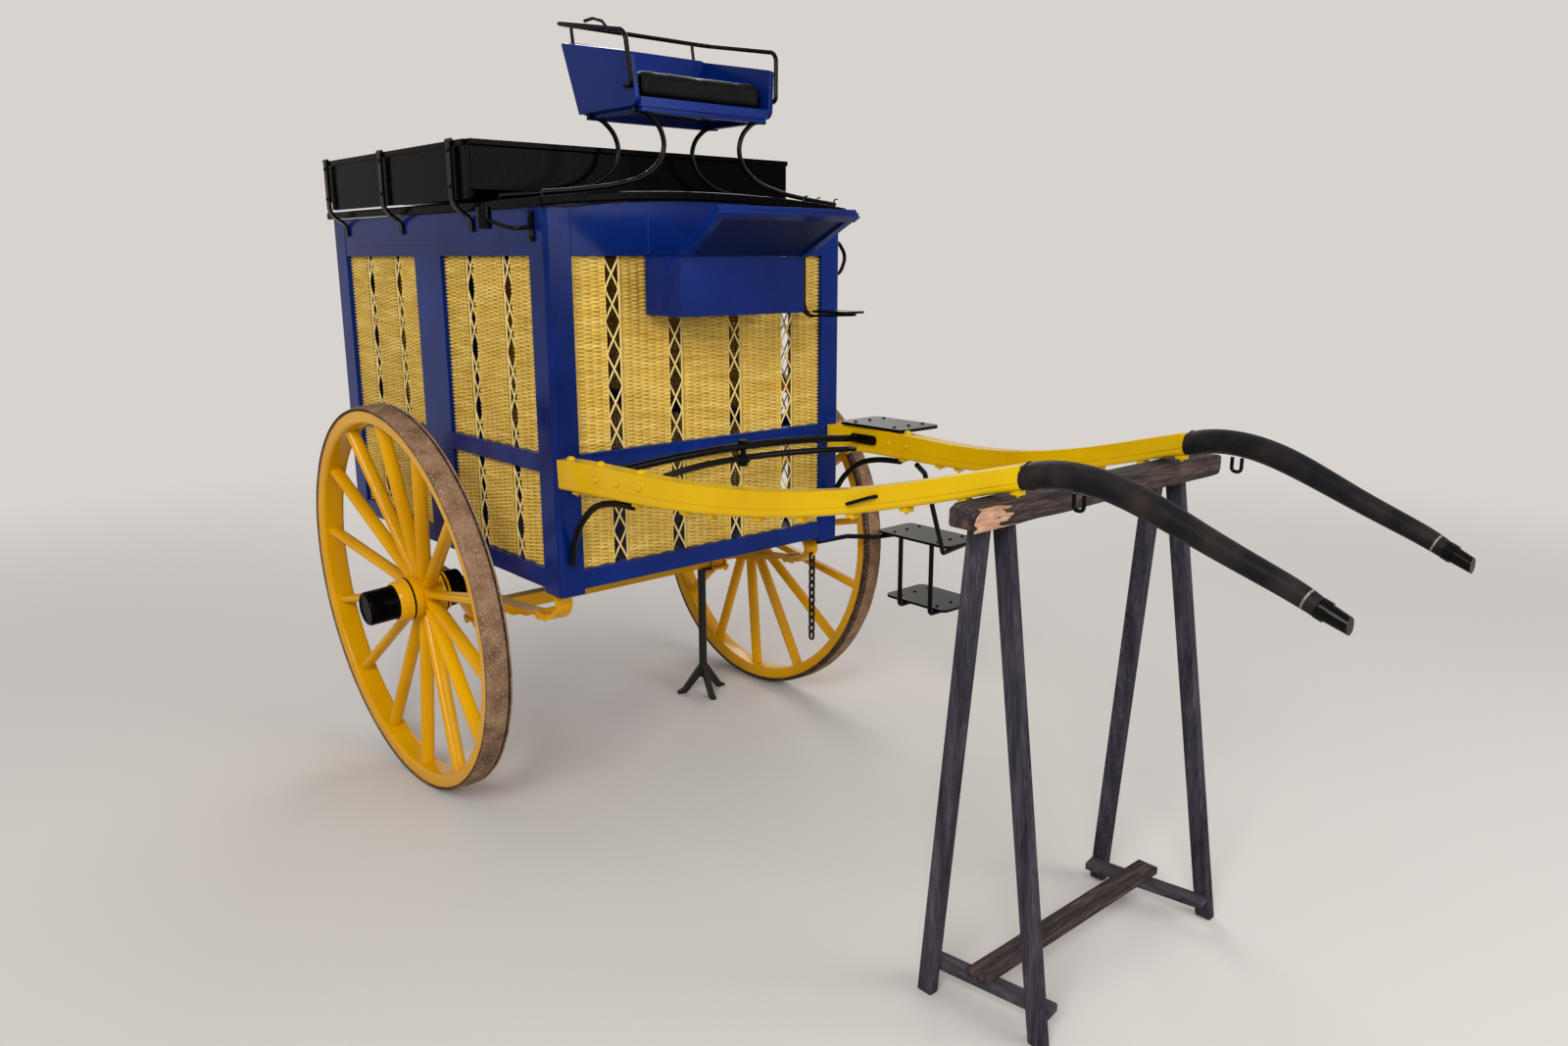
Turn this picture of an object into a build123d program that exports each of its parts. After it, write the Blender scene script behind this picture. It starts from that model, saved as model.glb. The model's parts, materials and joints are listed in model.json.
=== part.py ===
from build123d import *
import os
from math import atan2, cos, degrees, pi, radians, sin, tan

os.makedirs("parts", exist_ok=True)

# A two-wheeled game cart: panelled body with woven cane walls, driver's seat on the roof,
# two shafts resting on a trestle. Millimetres, +X forward, +Y left, +Z up, ground at zero.

# Driving dimensions of the body
CL = -45.0  # the cart's centreline; the steps make its left side the wider one
FRONT = -250.0  # outer face of the front wall
LENGTH = 1450.0
REAR = FRONT - LENGTH
HALF = 530.0  # half of the body's width
SILL = 715.0  # underside of the sills
LOWER = (770.0, 1046.0)  # heights of the lower woven row
UPPER = (1097.0, 1626.0)  # heights of the upper woven row
TOP = 1750.0  # top of the side walls
CROWN = 28.0  # rise of the roof's arch over the side walls
POST_FRONT = 88.0  # front corner posts, measured along X
POST_REAR = 98.0
POST_WIDE = 78.0  # corner posts, measured along Y
POST_DROP = 14.0  # how far the posts stand below the sills
POST_ROUND = 14.0
BAY_FRONT = 534.0  # length of the front bay of a side wall
BAY_GAP = 183.0  # wide post between the two bays
FRAME_THICK = 38.0
WEAVE_THICK = 14.0
STRIP_WIDE = 48.0  # open strip in the weave, crossed by slanting canes
STRIP_END = 8.0
CANE = 7.0
CANE_PITCH = 87.0

# Doors in the rear wall
DOOR_GAP = 6.0
DOOR_THICK = 34.0
STILE = 62.0
DOOR_SET = 2.0
HINGE_R = 9.0

# Wheels and axle
AXLE_X = FRONT - 610.0
TYRE_R = 600.0
RIM_R = 586.0
RIM_DEPTH = 38.0
RIM_CORNER = 12.0
RIM_WIDE = 74.0
TYRE_WIDE = 80.0
TYRE_ROUND = 6.0
CAMBER = 3.4  # degrees, the wheels lean outwards at the top
RIM_Y = 722.0  # middle of the rim from the centreline
DISH = 62.0  # the spokes' feet stand this far inboard of the rim
SPOKES = 14
NAVE_R = 63.0
NAVE_OUT = 36.0  # nave's outer end, measured outwards from the rim's middle
NAVE_IN = -152.0
NAVE_RING_R = 66.0
CAP_R = 52.0
COLLAR_R = 57.0
STUB_R = 24.0
STUB_END = 98.0
AXLE_LOW = 495.0
AXLE_SIZE = 45.0
SPRING_Y = 480.0
SPRING_WIDE = 50.0
SPRING_HALF = 434.0
EYE_Z = 614.0
LEAF = 9.0

# Roof, luggage tray, driver's seat
ROOF_OVER = 14.0
ROOF_THICK = 24.0
TRAY_FRONT = FRONT - 306.0
TRAY_REAR = FRONT - 1345.0
TRAY_HALF = 573.0
TRAY_TOP = 1935.0
TRAY_SIDE_LOW = 1778.0
TRAY_BOARD = 18.0
SEAT_FRONT = FRONT + 8.0
SEAT_BACK = FRONT - 280.0
SEAT_LOW = 2017.0
SEAT_HALF = 240.0
SEAT_BOARD = 24.0
CUSHION = (2042.5, 2112.0)
ARM_BOARD = 16.0
RAIL_R = 6.5

# Foot box and toe board on the front wall
FOOT_DEPTH = 167.0
FOOT_HALF = 222.0
FOOT = (1465.0, 1625.0)
FOOT_BOARD = 16.0
TOE_REACH = 362.0
TOE_TOP = 1738.0
TOE_HALF = 244.0

# Trestle
BEAM_X = FRONT + 1318.0

MID = Plane((0, CL, 0), x_dir=(1, 0, 0), z_dir=(0, -1, 0))
SIDES = (("right", -1), ("left", 1))  # name, sign of Y


def at_x(x):
    """Upright plane across the cart: local x is Y from the centreline, local y is height."""
    return Plane((x, CL, 0), x_dir=(0, 1, 0), z_dir=(1, 0, 0))


def at_y(y):
    """Upright plane along the cart, y from the centreline; its normal points right."""
    return Plane((0, CL + y, 0), x_dir=(1, 0, 0), z_dir=(0, -1, 0))


def at_z(z):
    """Level plane: local x is X, local y is Y from the centreline."""
    return Plane((0, CL, z))


def place(x, y, z):
    """A point given by X, Y from the centreline, and height."""
    return (x, CL + y, z)


def bend_radii(points, most=1e6):
    """The largest radius that fits each corner of a route, one for each inner point."""
    spots = [Vector(*p) for p in points]
    radii = []
    for before, here, after in zip(spots, spots[1:], spots[2:]):
        turn = radians((here - before).get_angle(after - here))
        run = min((here - before).length, (after - here).length)
        radii.append(min(most, 0.45 * run / tan(turn / 2)))
    return radii


def rod(points, radius, most=1e6):
    """A round iron along a route of straight runs joined by arcs; adds to the open part."""
    with BuildLine() as route:
        if len(points) > 2:
            FilletPolyline(*points, radius=bend_radii(points, most))
        else:
            Line(*points)
    start = route.line @ 0
    with BuildSketch(Plane(start, z_dir=route.line % 0)) as section:
        Circle(radius)
    sweep(section.sketch, path=route.line)


def bar(points, plane, wide, thick):
    """A flat iron bent in one plane: its centre route in that plane's own coordinates."""
    with BuildSketch(plane) as strap:
        with BuildLine():
            FilletPolyline(*points, radius=bend_radii([(*p, 0) for p in points], 45.0))
        trace(line_width=thick)
    extrude(strap.sketch, amount=wide / 2, both=True)


def weave(wide, tall, strips):
    """A woven panel with open strips crossed by slanting canes, about the current location."""
    crossings = round((tall - 2 * STRIP_END) / CANE_PITCH)
    pitch = (tall - 2 * STRIP_END) / crossings
    slant = degrees(atan2(STRIP_WIDE, pitch))
    reach = STRIP_WIDE / sin(radians(slant)) + CANE
    Rectangle(wide, tall)
    with Locations(*[(strip, 0) for strip in strips]):
        Rectangle(STRIP_WIDE, tall - 2 * STRIP_END, mode=Mode.SUBTRACT)
    spots = [
        (strip, (step + 0.5 - crossings / 2) * pitch)
        for strip in strips
        for step in range(crossings)
    ]
    for turn in (slant, -slant):
        with Locations(*spots):
            Rectangle(CANE, reach, rotation=turn)


# Corner posts
with BuildPart() as corner_posts:
    for outer, depth, inward in ((FRONT, POST_FRONT, -1), (REAR, POST_REAR, 1)):
        with BuildSketch(at_z(SILL - POST_DROP)):
            with Locations((outer + inward * depth / 2, HALF - POST_WIDE / 2)):
                Rectangle(depth, POST_WIDE)
        extrude(amount=TOP - SILL + POST_DROP)
    outside = corner_posts.edges().filter_by(Axis.Z).group_by(Axis.Y)[-1].sort_by(Axis.X)
    fillet([outside[0], outside[-1]], POST_ROUND)
    mirror(about=MID)
corner_posts.part.label = "corner_posts"
export_step(corner_posts.part, "parts/corner_posts.step")

# Side walls: framed panels between the posts, and their woven bays
WALL_FRONT = FRONT - POST_FRONT
WALL_REAR = REAR + POST_REAR
WALL_LONG = WALL_FRONT - WALL_REAR
BAYS = (  # front end, rear end
    (WALL_FRONT, WALL_FRONT - BAY_FRONT),
    (WALL_FRONT - BAY_FRONT - BAY_GAP, WALL_REAR),
)
for side, sign in SIDES:
    outer = sign * (HALF - 2)
    start = outer - sign * FRAME_THICK
    with BuildPart() as side_frame:
        with BuildSketch(at_y(start)):
            with Locations(((WALL_FRONT + WALL_REAR) / 2, (SILL + TOP) / 2)):
                Rectangle(WALL_LONG, TOP - SILL)
            for ahead, behind in BAYS:
                for low, high in (LOWER, UPPER):
                    with Locations(((ahead + behind) / 2, (low + high) / 2)):
                        Rectangle(ahead - behind, high - low, mode=Mode.SUBTRACT)
        extrude(amount=-sign * FRAME_THICK)
    side_frame.part.label = f"side_frame_{side}"
    export_step(side_frame.part, f"parts/side_frame_{side}.step")

    with BuildPart() as wicker_side:
        with BuildSketch(at_y(outer - sign * (FRAME_THICK + WEAVE_THICK) / 2)):
            for ahead, behind in BAYS:
                for low, high in (LOWER, UPPER):
                    with Locations(((ahead + behind) / 2, (low + high) / 2)):
                        weave(ahead - behind, high - low, (-110, 110))
        extrude(amount=-sign * WEAVE_THICK)
    wicker_side.part.label = f"wicker_{side}"
    export_step(wicker_side.part, f"parts/wicker_{side}.step")

# Front wall
WALL_HALF = HALF - POST_WIDE
with BuildPart() as front_frame:
    with BuildSketch(at_x(FRONT - 2)):
        with BuildLine():
            l1 = Polyline((WALL_HALF, TOP), (WALL_HALF, SILL), (-WALL_HALF, SILL), (-WALL_HALF, TOP))
            ThreePointArc(l1 @ 1, (0, TOP + CROWN), l1 @ 0)
        make_face()
        for low, high in (LOWER, UPPER):
            with Locations((0, (low + high) / 2)):
                Rectangle(2 * WALL_HALF, high - low, mode=Mode.SUBTRACT)
    extrude(amount=-FRAME_THICK)
front_frame.part.label = "front_frame"
export_step(front_frame.part, "parts/front_frame.step")

with BuildPart() as wicker_front:
    with BuildSketch(at_x(FRONT - 2 - (FRAME_THICK - WEAVE_THICK) / 2)):
        for low, high in (LOWER, UPPER):
            with Locations((0, (low + high) / 2)):
                weave(2 * WALL_HALF, high - low, (-318, -110, 110, 318))
    extrude(amount=-WEAVE_THICK)
wicker_front.part.label = "wicker_front"
export_step(wicker_front.part, "parts/wicker_front.step")

# Rear wall: sill and arched head around the doorway
DOOR_LOW = SILL + 60.0
DOOR_HIGH = TOP - 70.0
with BuildPart() as rear_frame:
    with BuildSketch(at_x(REAR + 2)):
        with BuildLine():
            l2 = Polyline(
                (WALL_HALF, TOP), (WALL_HALF, DOOR_HIGH), (-WALL_HALF, DOOR_HIGH), (-WALL_HALF, TOP)
            )
            ThreePointArc(l2 @ 1, (0, TOP + CROWN), l2 @ 0)
        make_face()
        with Locations((0, (SILL + DOOR_LOW) / 2)):
            Rectangle(2 * WALL_HALF, DOOR_LOW - SILL)
    extrude(amount=FRAME_THICK)
rear_frame.part.label = "rear_frame"
export_step(rear_frame.part, "parts/rear_frame.step")

# Rear doors, hung on the posts, each with woven rows like the walls'
DOOR_FACE = REAR + DOOR_SET
LEAF_WIDE = WALL_HALF - 1.5 * DOOR_GAP
LEAF_LOW = DOOR_LOW + DOOR_GAP
LEAF_HIGH = DOOR_HIGH - DOOR_GAP
HINGE_X = REAR - HINGE_R - 4.0
HINGE_Y = WALL_HALF - DOOR_GAP / 2
HINGE_HEIGHTS = (LEAF_LOW + 130.0, LEAF_HIGH - 130.0)
HINGE_TALL = 90.0
STRAP_LONG = 200.0
for side, sign in SIDES:
    middle = sign * (DOOR_GAP / 2 + LEAF_WIDE / 2)
    with BuildPart() as door:
        with BuildSketch(at_x(DOOR_FACE)):
            with Locations((middle, (LEAF_LOW + LEAF_HIGH) / 2)):
                Rectangle(LEAF_WIDE, LEAF_HIGH - LEAF_LOW)
            for low, high in ((LEAF_LOW + STILE, LOWER[1]), (UPPER[0], LEAF_HIGH - STILE)):
                with Locations((middle, (low + high) / 2)):
                    Rectangle(LEAF_WIDE - 2 * STILE, high - low, mode=Mode.SUBTRACT)
        extrude(amount=DOOR_THICK)
    door.part.label = f"door_{side}"
    export_step(door.part, f"parts/door_{side}.step")

    with BuildPart() as wicker_door:
        with BuildSketch(at_x(DOOR_FACE + (DOOR_THICK - WEAVE_THICK) / 2)):
            for low, high in ((LEAF_LOW + STILE, LOWER[1]), (UPPER[0], LEAF_HIGH - STILE)):
                with Locations((middle, (low + high) / 2)):
                    weave(LEAF_WIDE - 2 * STILE, high - low, (0,))
        extrude(amount=WEAVE_THICK)
    wicker_door.part.label = f"wicker_door_{side}"
    export_step(wicker_door.part, f"parts/wicker_door_{side}.step")

    # Strap hinges: barrel outside the wall and a long strap on the door's face
    with BuildPart() as door_straps:
        for height in HINGE_HEIGHTS:
            with BuildSketch(at_z(height - HINGE_TALL / 2 + 30.0)):
                with Locations((HINGE_X, sign * HINGE_Y)):
                    Circle(HINGE_R)
                with Locations((DOOR_FACE - 3.0, sign * (HINGE_Y - STRAP_LONG / 2))):
                    Rectangle(6.0, STRAP_LONG)
                with Locations(((HINGE_X + DOOR_FACE) / 2, sign * (HINGE_Y - 3.0))):
                    Rectangle(DOOR_FACE - HINGE_X, 6.0)
            extrude(amount=30.0)
    door_straps.part.label = f"door_straps_{side}"
    export_step(door_straps.part, f"parts/door_straps_{side}.step")

# Fixed hinge knuckles on the rear posts, above and below each strap's barrel
with BuildPart() as hinge_knuckles:
    for height in HINGE_HEIGHTS:
        for foot in (height - HINGE_TALL / 2, height - HINGE_TALL / 2 + 60.3):
            with BuildSketch(at_z(foot)):
                with Locations((HINGE_X, HINGE_Y)):
                    Circle(HINGE_R)
                with Locations((REAR - 3.0, HINGE_Y + 30.0)):
                    Rectangle(6.0, 60.0)
                with Locations(((HINGE_X + REAR) / 2, HINGE_Y + 6.0)):
                    Rectangle(REAR - HINGE_X, 6.0)
            extrude(amount=29.7)
    mirror(about=MID)
hinge_knuckles.part.label = "hinge_knuckles"
export_step(hinge_knuckles.part, "parts/hinge_knuckles.step")

# Door handle on the left leaf, a turned iron grip
HANDLE_REACH = 1725.0 + REAR
with BuildPart() as door_handle:
    handle = Plane(place(DOOR_FACE, DOOR_GAP / 2 + 28.0, 1070.0), z_dir=(-1, 0, 0))
    with BuildSketch(handle):
        Circle(20.0)
    extrude(amount=4.0)
    with BuildSketch(handle):
        Circle(7.0)
    extrude(amount=18.0)
    with BuildSketch(handle.offset(17.0)):
        SlotOverall(90.0, 16.0)
    extrude(amount=HANDLE_REACH + DOOR_SET - 17.0)
door_handle.part.label = "door_handle"
export_step(door_handle.part, "parts/door_handle.step")

# Floor
with BuildPart() as floor_boards:
    with BuildSketch(at_z(SILL + 8.0)):
        with Locations(((FRONT + REAR) / 2, 0)):
            Rectangle(LENGTH - 2 * FRAME_THICK - 10, 2 * (HALF - FRAME_THICK - 4))
            for x in (FRONT - POST_FRONT / 2, REAR + POST_REAR / 2):
                for y in (-1, 1):
                    with Locations((x - (FRONT + REAR) / 2, y * (HALF - POST_WIDE / 2))):
                        Rectangle(POST_REAR + 4, POST_WIDE + 4, mode=Mode.SUBTRACT)
    extrude(amount=24.0)
floor_boards.part.label = "floor_boards"
export_step(floor_boards.part, "parts/floor_boards.step")

# Roof: a thin arched slab
with BuildPart() as roof:
    with BuildSketch(at_x(FRONT + ROOF_OVER)):
        with BuildLine():
            edge = HALF + ROOF_OVER
            under = ThreePointArc((-edge, TOP), (0, TOP + CROWN), (edge, TOP))
            Line((edge, TOP), (edge, TOP + ROOF_THICK))
            ThreePointArc((edge, TOP + ROOF_THICK), (0, TOP + CROWN + ROOF_THICK), (-edge, TOP + ROOF_THICK))
            Line((-edge, TOP + ROOF_THICK), (-edge, TOP))
        make_face()
    extrude(amount=-(LENGTH + 2 * ROOF_OVER))
roof.part.label = "roof"
export_step(roof.part, "parts/roof.step")

# Luggage tray on the roof behind the seat
ROOF_CREST = TOP + CROWN + ROOF_THICK
TRAY_MID = (TRAY_FRONT + TRAY_REAR) / 2
TRAY_LONG = TRAY_FRONT - TRAY_REAR
RIM_OUT = 8.0
RIM_TALL = 16.0
with BuildPart() as tray_ends:
    for x, outward in ((TRAY_FRONT, 1), (TRAY_REAR, -1)):
        with BuildSketch(at_y(0)):
            with Locations((x - outward * TRAY_BOARD / 2, (ROOF_CREST + TRAY_TOP) / 2)):
                Rectangle(TRAY_BOARD, TRAY_TOP - ROOF_CREST)
            with Locations((x - outward * (TRAY_BOARD - RIM_OUT) / 2, TRAY_TOP - RIM_TALL / 2)):
                Rectangle(TRAY_BOARD + RIM_OUT, RIM_TALL)
        extrude(amount=TRAY_HALF, both=True)
tray_ends.part.label = "tray_ends"
export_step(tray_ends.part, "parts/tray_ends.step")

with BuildPart() as tray_sides:
    with BuildSketch(at_x(TRAY_REAR + TRAY_BOARD)):
        with Locations((TRAY_HALF - TRAY_BOARD / 2, (TRAY_SIDE_LOW + TRAY_TOP) / 2)):
            Rectangle(TRAY_BOARD, TRAY_TOP - TRAY_SIDE_LOW)
        with Locations((TRAY_HALF - (TRAY_BOARD - RIM_OUT) / 2, TRAY_TOP - RIM_TALL / 2)):
            Rectangle(TRAY_BOARD + RIM_OUT, RIM_TALL)
    extrude(amount=TRAY_LONG - 2 * TRAY_BOARD)
    mirror(about=MID)
tray_sides.part.label = "tray_sides"
export_step(tray_sides.part, "parts/tray_sides.step")

with BuildPart() as tray_floor:
    with BuildSketch(at_z(ROOF_CREST)):
        with Locations((TRAY_MID, 0)):
            Rectangle(TRAY_LONG - 2 * TRAY_BOARD, 2 * (TRAY_HALF - TRAY_BOARD))
    extrude(amount=12.0)
tray_floor.part.label = "tray_floor"
export_step(tray_floor.part, "parts/tray_floor.step")

# Flat irons that hold the tray's sides, bent in under the eaves to the body
STAY_XS = (FRONT - 400.0, FRONT - 872.0, FRONT - 1320.0)
STAY_WIDE = 26.0
STAY_THICK = 8.0
with BuildPart() as tray_stays:
    for x in STAY_XS:
        foot = HALF - 2 + STAY_THICK / 2
        out = TRAY_HALF + RIM_OUT + STAY_THICK / 2
        bar(
            ((out, TRAY_TOP - 2), (out, TRAY_SIDE_LOW - 14), (foot, TOP - 22), (foot, TOP - 58)),
            at_x(x),
            STAY_WIDE,
            STAY_THICK,
        )
    mirror(about=MID)
tray_stays.part.label = "tray_stays"
export_step(tray_stays.part, "parts/tray_stays.step")

# Driver's seat
ARM_LEAN = 5.0
ARM_OUTLINE = (  # X behind the front wall, height
    (-280.0, SEAT_LOW),
    (8.0, SEAT_LOW),
    (2.0, 2151.0),
    (-335.0, 2214.0),
)
with BuildPart() as seat_board:
    with BuildSketch(at_z(SEAT_LOW)):
        with Locations(((SEAT_FRONT + SEAT_BACK) / 2, 0)):
            Rectangle(SEAT_FRONT - SEAT_BACK, 2 * (SEAT_HALF - ARM_BOARD))
    extrude(amount=SEAT_BOARD)
seat_board.part.label = "seat_board"
export_step(seat_board.part, "parts/seat_board.step")

lean = radians(ARM_LEAN)
with BuildPart() as seat_arms:
    arm_plane = Plane(
        place(0, -SEAT_HALF, SEAT_LOW), x_dir=(1, 0, 0), z_dir=(0, -cos(lean), -sin(lean))
    )
    with BuildSketch(arm_plane):
        with BuildLine():
            FilletPolyline(
                *[(FRONT + x, (z - SEAT_LOW) / cos(lean)) for x, z in ARM_OUTLINE],
                radius=[2.0, 22.0, 10.0, 6.0],
                close=True,
            )
        make_face()
    extrude(amount=-ARM_BOARD)
    mirror(about=MID)
seat_arms.part.label = "seat_arms"
export_step(seat_arms.part, "parts/seat_arms.step")

BACK_RUN = (-280.0 + 335.0) / (2214.0 - SEAT_LOW)
back_tilt = atan2(BACK_RUN, 1)
BACK_TALL = (2212.0 - SEAT_LOW - SEAT_BOARD) / cos(back_tilt)
with BuildPart() as seat_back:
    foot_x = SEAT_BACK - BACK_RUN * SEAT_BOARD
    back_plane = Plane(
        place(foot_x + 1.0, 0, SEAT_LOW + SEAT_BOARD),
        x_dir=(0, 1, 0),
        z_dir=(cos(back_tilt), 0, sin(back_tilt)),
    )
    with BuildSketch(back_plane):
        low_half = SEAT_HALF - ARM_BOARD
        high_half = low_half + (2190.0 - SEAT_LOW) * tan(lean)
        Polygon(
            (-low_half, 1.0),
            (low_half, 1.0),
            (high_half, BACK_TALL),
            (-high_half, BACK_TALL),
            align=None,
        )
    extrude(amount=ARM_BOARD)
seat_back.part.label = "seat_back"
export_step(seat_back.part, "parts/seat_back.step")

with BuildPart() as seat_cushion:
    with BuildSketch(at_z(CUSHION[0])):
        with Locations(((SEAT_FRONT + SEAT_BACK) / 2 + 6, 0)):
            RectangleRounded(SEAT_FRONT - SEAT_BACK - 24, 2 * (SEAT_HALF - ARM_BOARD) - 6, 24)
    extrude(amount=CUSHION[1] - CUSHION[0])
    fillet(seat_cushion.faces().sort_by(Axis.Z)[-1].edges(), 16)
seat_cushion.part.label = "seat_cushion"
export_step(seat_cushion.part, "parts/seat_cushion.step")

# Round iron rail around the seat
RAIL_HALF_ROUTE = (  # X ahead of the front wall, Y from the centreline, height
    (-26.0, 252.5, 2070.0),
    (8.0, 252.5, 2064.0),
    (-2.0, 263.0, 2203.0),
    (-344.0, 268.0, 2266.0),
)
with BuildPart() as seat_rail:
    left = [place(FRONT + x, y, z) for x, y, z in RAIL_HALF_ROUTE]
    right = [place(FRONT + x, -y, z) for x, y, z in RAIL_HALF_ROUTE]
    rod(right + left[::-1], RAIL_R, most=34.0)
    for y in (-215, 215):
        with BuildSketch(Plane(place(FRONT - 344.0, y, 2262.0), z_dir=(-0.16, 0, 1)).offset(-44.0)):
            Circle(5.0)
        extrude(amount=44.0)
seat_rail.part.label = "seat_rail"
export_step(seat_rail.part, "parts/seat_rail.step")

# Four bent irons that carry the seat; their feet run out along the roof
IRON_R = 7.0
IRON_ROUTE = (  # Y from the centreline, height
    (232.0, SEAT_LOW - IRON_R),
    (190.0, SEAT_LOW - IRON_R - 2),
    (146.0, 1972.0),
    (130.0, 1926.0),
    (148.0, 1876.0),
    (206.0, 1834.0),
    (306.0, 1809.0),
    (424.0, 1794.0),
    (522.0, 1785.0),
)
with BuildPart() as seat_irons:
    for x in (FRONT - 18.0, FRONT - 245.0):
        rod([place(x, y, z) for y, z in IRON_ROUTE], IRON_R)
    mirror(about=MID)
seat_irons.part.label = "seat_irons"
export_step(seat_irons.part, "parts/seat_irons.step")

# Foot box, open on top, and the sloping toe board above it
with BuildPart() as foot_box:
    with BuildSketch(at_z(FOOT[0])):
        with Locations((FRONT + FOOT_DEPTH / 2, 0)):
            Rectangle(FOOT_DEPTH, 2 * FOOT_HALF)
    extrude(amount=FOOT[1] - FOOT[0])
    with BuildSketch(at_z(FOOT[0] + FOOT_BOARD)):
        with Locations((FRONT + FOOT_DEPTH / 2, 0)):
            Rectangle(FOOT_DEPTH - 2 * FOOT_BOARD, 2 * (FOOT_HALF - FOOT_BOARD))
    extrude(amount=FOOT[1] - FOOT[0], mode=Mode.SUBTRACT)
foot_box.part.label = "foot_box"
export_step(foot_box.part, "parts/foot_box.step")

toe_slope = atan2(TOE_TOP - FOOT[1], TOE_REACH - FOOT_DEPTH)
TOE_LONG = (TOE_REACH - FOOT_DEPTH) / cos(toe_slope)
TOE_THICK = 14.0
BATTEN = 26.0
with BuildPart() as toe_board:
    toe_plane = Plane(
        place(FRONT + FOOT_DEPTH, 0, FOOT[1]),
        x_dir=(0, 1, 0),
        z_dir=(-sin(toe_slope), 0, cos(toe_slope)),
    )
    with BuildSketch(toe_plane.offset(0.5)):
        Polygon(
            (-FOOT_HALF, 0), (FOOT_HALF, 0), (TOE_HALF, -TOE_LONG), (-TOE_HALF, -TOE_LONG), align=None
        )
    extrude(amount=TOE_THICK)
    with BuildSketch(toe_plane.offset(-9.5)):
        for side in (-1, 1):
            Polygon(
                (side * FOOT_HALF, -12),
                (side * TOE_HALF, -TOE_LONG),
                (side * (TOE_HALF - BATTEN), -TOE_LONG),
                (side * (FOOT_HALF - BATTEN), -12),
                align=None,
            )
    extrude(amount=12.0)
toe_board.part.label = "toe_board"
export_step(toe_board.part, "parts/toe_board.step")

# Lamp brackets: plate on the body's side, bent arm and an upright socket
SOCKET = (-182.0, 602.0)  # X ahead of the front wall, Y from the centreline
SOCKET_R = 19.0
SOCKET_BORE = 14.0
SOCKET_LOW = 1695.0
SOCKET_TALL = 56.0
with BuildPart() as lamp_brackets:
    with BuildSketch(at_y(HALF + 5.0)):
        with Locations((FRONT - 60.0, 1700.0)):
            RectangleRounded(24.0, 76.0, 6.0)
    extrude(amount=5.0)
    route = ((-60.0, 536.0, 1700.0), (-70.0, 572.0, 1694.0), (-120.0, 592.0, 1704.0), (-166.0, 600.0, 1719.0))
    rod([place(FRONT + x, y, z) for x, y, z in route], 6.0)
    with BuildSketch(at_z(SOCKET_LOW)):
        with Locations((FRONT + SOCKET[0], SOCKET[1])):
            Circle(SOCKET_R)
    extrude(amount=SOCKET_TALL)
    with BuildSketch(at_z(SOCKET_LOW + 6.0)):
        with Locations((FRONT + SOCKET[0], SOCKET[1])):
            Circle(SOCKET_BORE)
    extrude(amount=SOCKET_TALL, mode=Mode.SUBTRACT)
    mirror(about=MID)
lamp_brackets.part.label = "lamp_brackets"
export_step(lamp_brackets.part, "parts/lamp_brackets.step")

# Grab handle on the left front post
with BuildPart() as grab_handle:
    route = (
        (-40.0, HALF + 2.0, 1676.0),
        (-40.0, HALF + 34.0, 1668.0),
        (-40.0, HALF + 66.0, 1626.0),
        (-40.0, HALF + 42.0, 1574.0),
        (-40.0, HALF + 2.0, 1564.0),
    )
    rod([place(FRONT + x, y, z) for x, y, z in route], 6.0)
grab_handle.part.label = "grab_handle"
export_step(grab_handle.part, "parts/grab_handle.step")

# Step iron on the front wall: a hanger and a small tread
with BuildPart() as front_step:
    hanger_y = 366.0
    bar(
        ((FRONT + 5.0, 1648.0), (FRONT + 5.0, 1444.0), (FRONT + 232.0, 1456.0)),
        at_y(hanger_y),
        16.0,
        8.0,
    )
    with BuildSketch(at_z(1459.0)):
        with Locations((FRONT + 162.0, hanger_y)):
            RectangleRounded(144.0, 92.0, 12.0)
    extrude(amount=7.0)
front_step.part.label = "front_step"
export_step(front_step.part, "parts/front_step.step")

# Shafts, bent in both directions and tapering forwards
SHAFT_TABLE = (  # X ahead of the front wall, Y of the middle, height of the middle, width, depth
    (2.0, 502.0, 1050.0, 44.0, 81.0),
    (341.0, 490.0, 1060.0, 44.0, 76.0),
    (683.0, 433.0, 1071.0, 43.0, 63.0),
    (1023.0, 368.0, 1124.0, 42.0, 53.0),
    (1366.0, 300.0, 1213.0, 41.0, 48.0),
)
SHAFT_ROUND = 9.0
for side, sign in SIDES:
    with BuildPart() as shaft:
        for x, y, z, wide, deep in SHAFT_TABLE:
            with BuildSketch(at_x(FRONT + x)):
                with Locations((sign * y, z)):
                    RectangleRounded(wide, deep, SHAFT_ROUND)
        loft()
    shaft.part.label = f"shaft_{side}"
    export_step(shaft.part, f"parts/shaft_{side}.step")

# Leather sleeves and iron tips on the shafts' front ends
SLEEVE_TABLE = (  # X ahead of the front wall, Y from the centreline, height, radius
    (1366.5, 300.0, 1213.0, 26.0),
    (1440.0, 298.0, 1227.0, 27.0),
    (1520.0, 295.0, 1224.0, 27.0),
    (1674.0, 287.0, 1178.0, 25.0),
    (1825.0, 279.0, 1120.0, 21.0),
    (1925.0, 274.0, 1079.0, 17.5),
)
TIP_END = (1975.0, 270.0, 1058.0)
TIP_FRONT = FRONT + TIP_END[0]


def rings(table):
    """Sections across a tapering round piece, one for each row of the table."""
    spots = [Vector(*place(FRONT + x, y, z)) for x, y, z, r in table]
    sections = []
    for i, (spot, row) in enumerate(zip(spots, table)):
        facing = spots[min(i + 1, len(spots) - 1)] - spots[i - 1] if i else Vector(1, 0, 0)
        with BuildSketch(Plane(spot, x_dir=(0, 1, 0), z_dir=facing)) as section:
            Circle(row[3])
        sections.append(section.sketch)
    return sections


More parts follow.
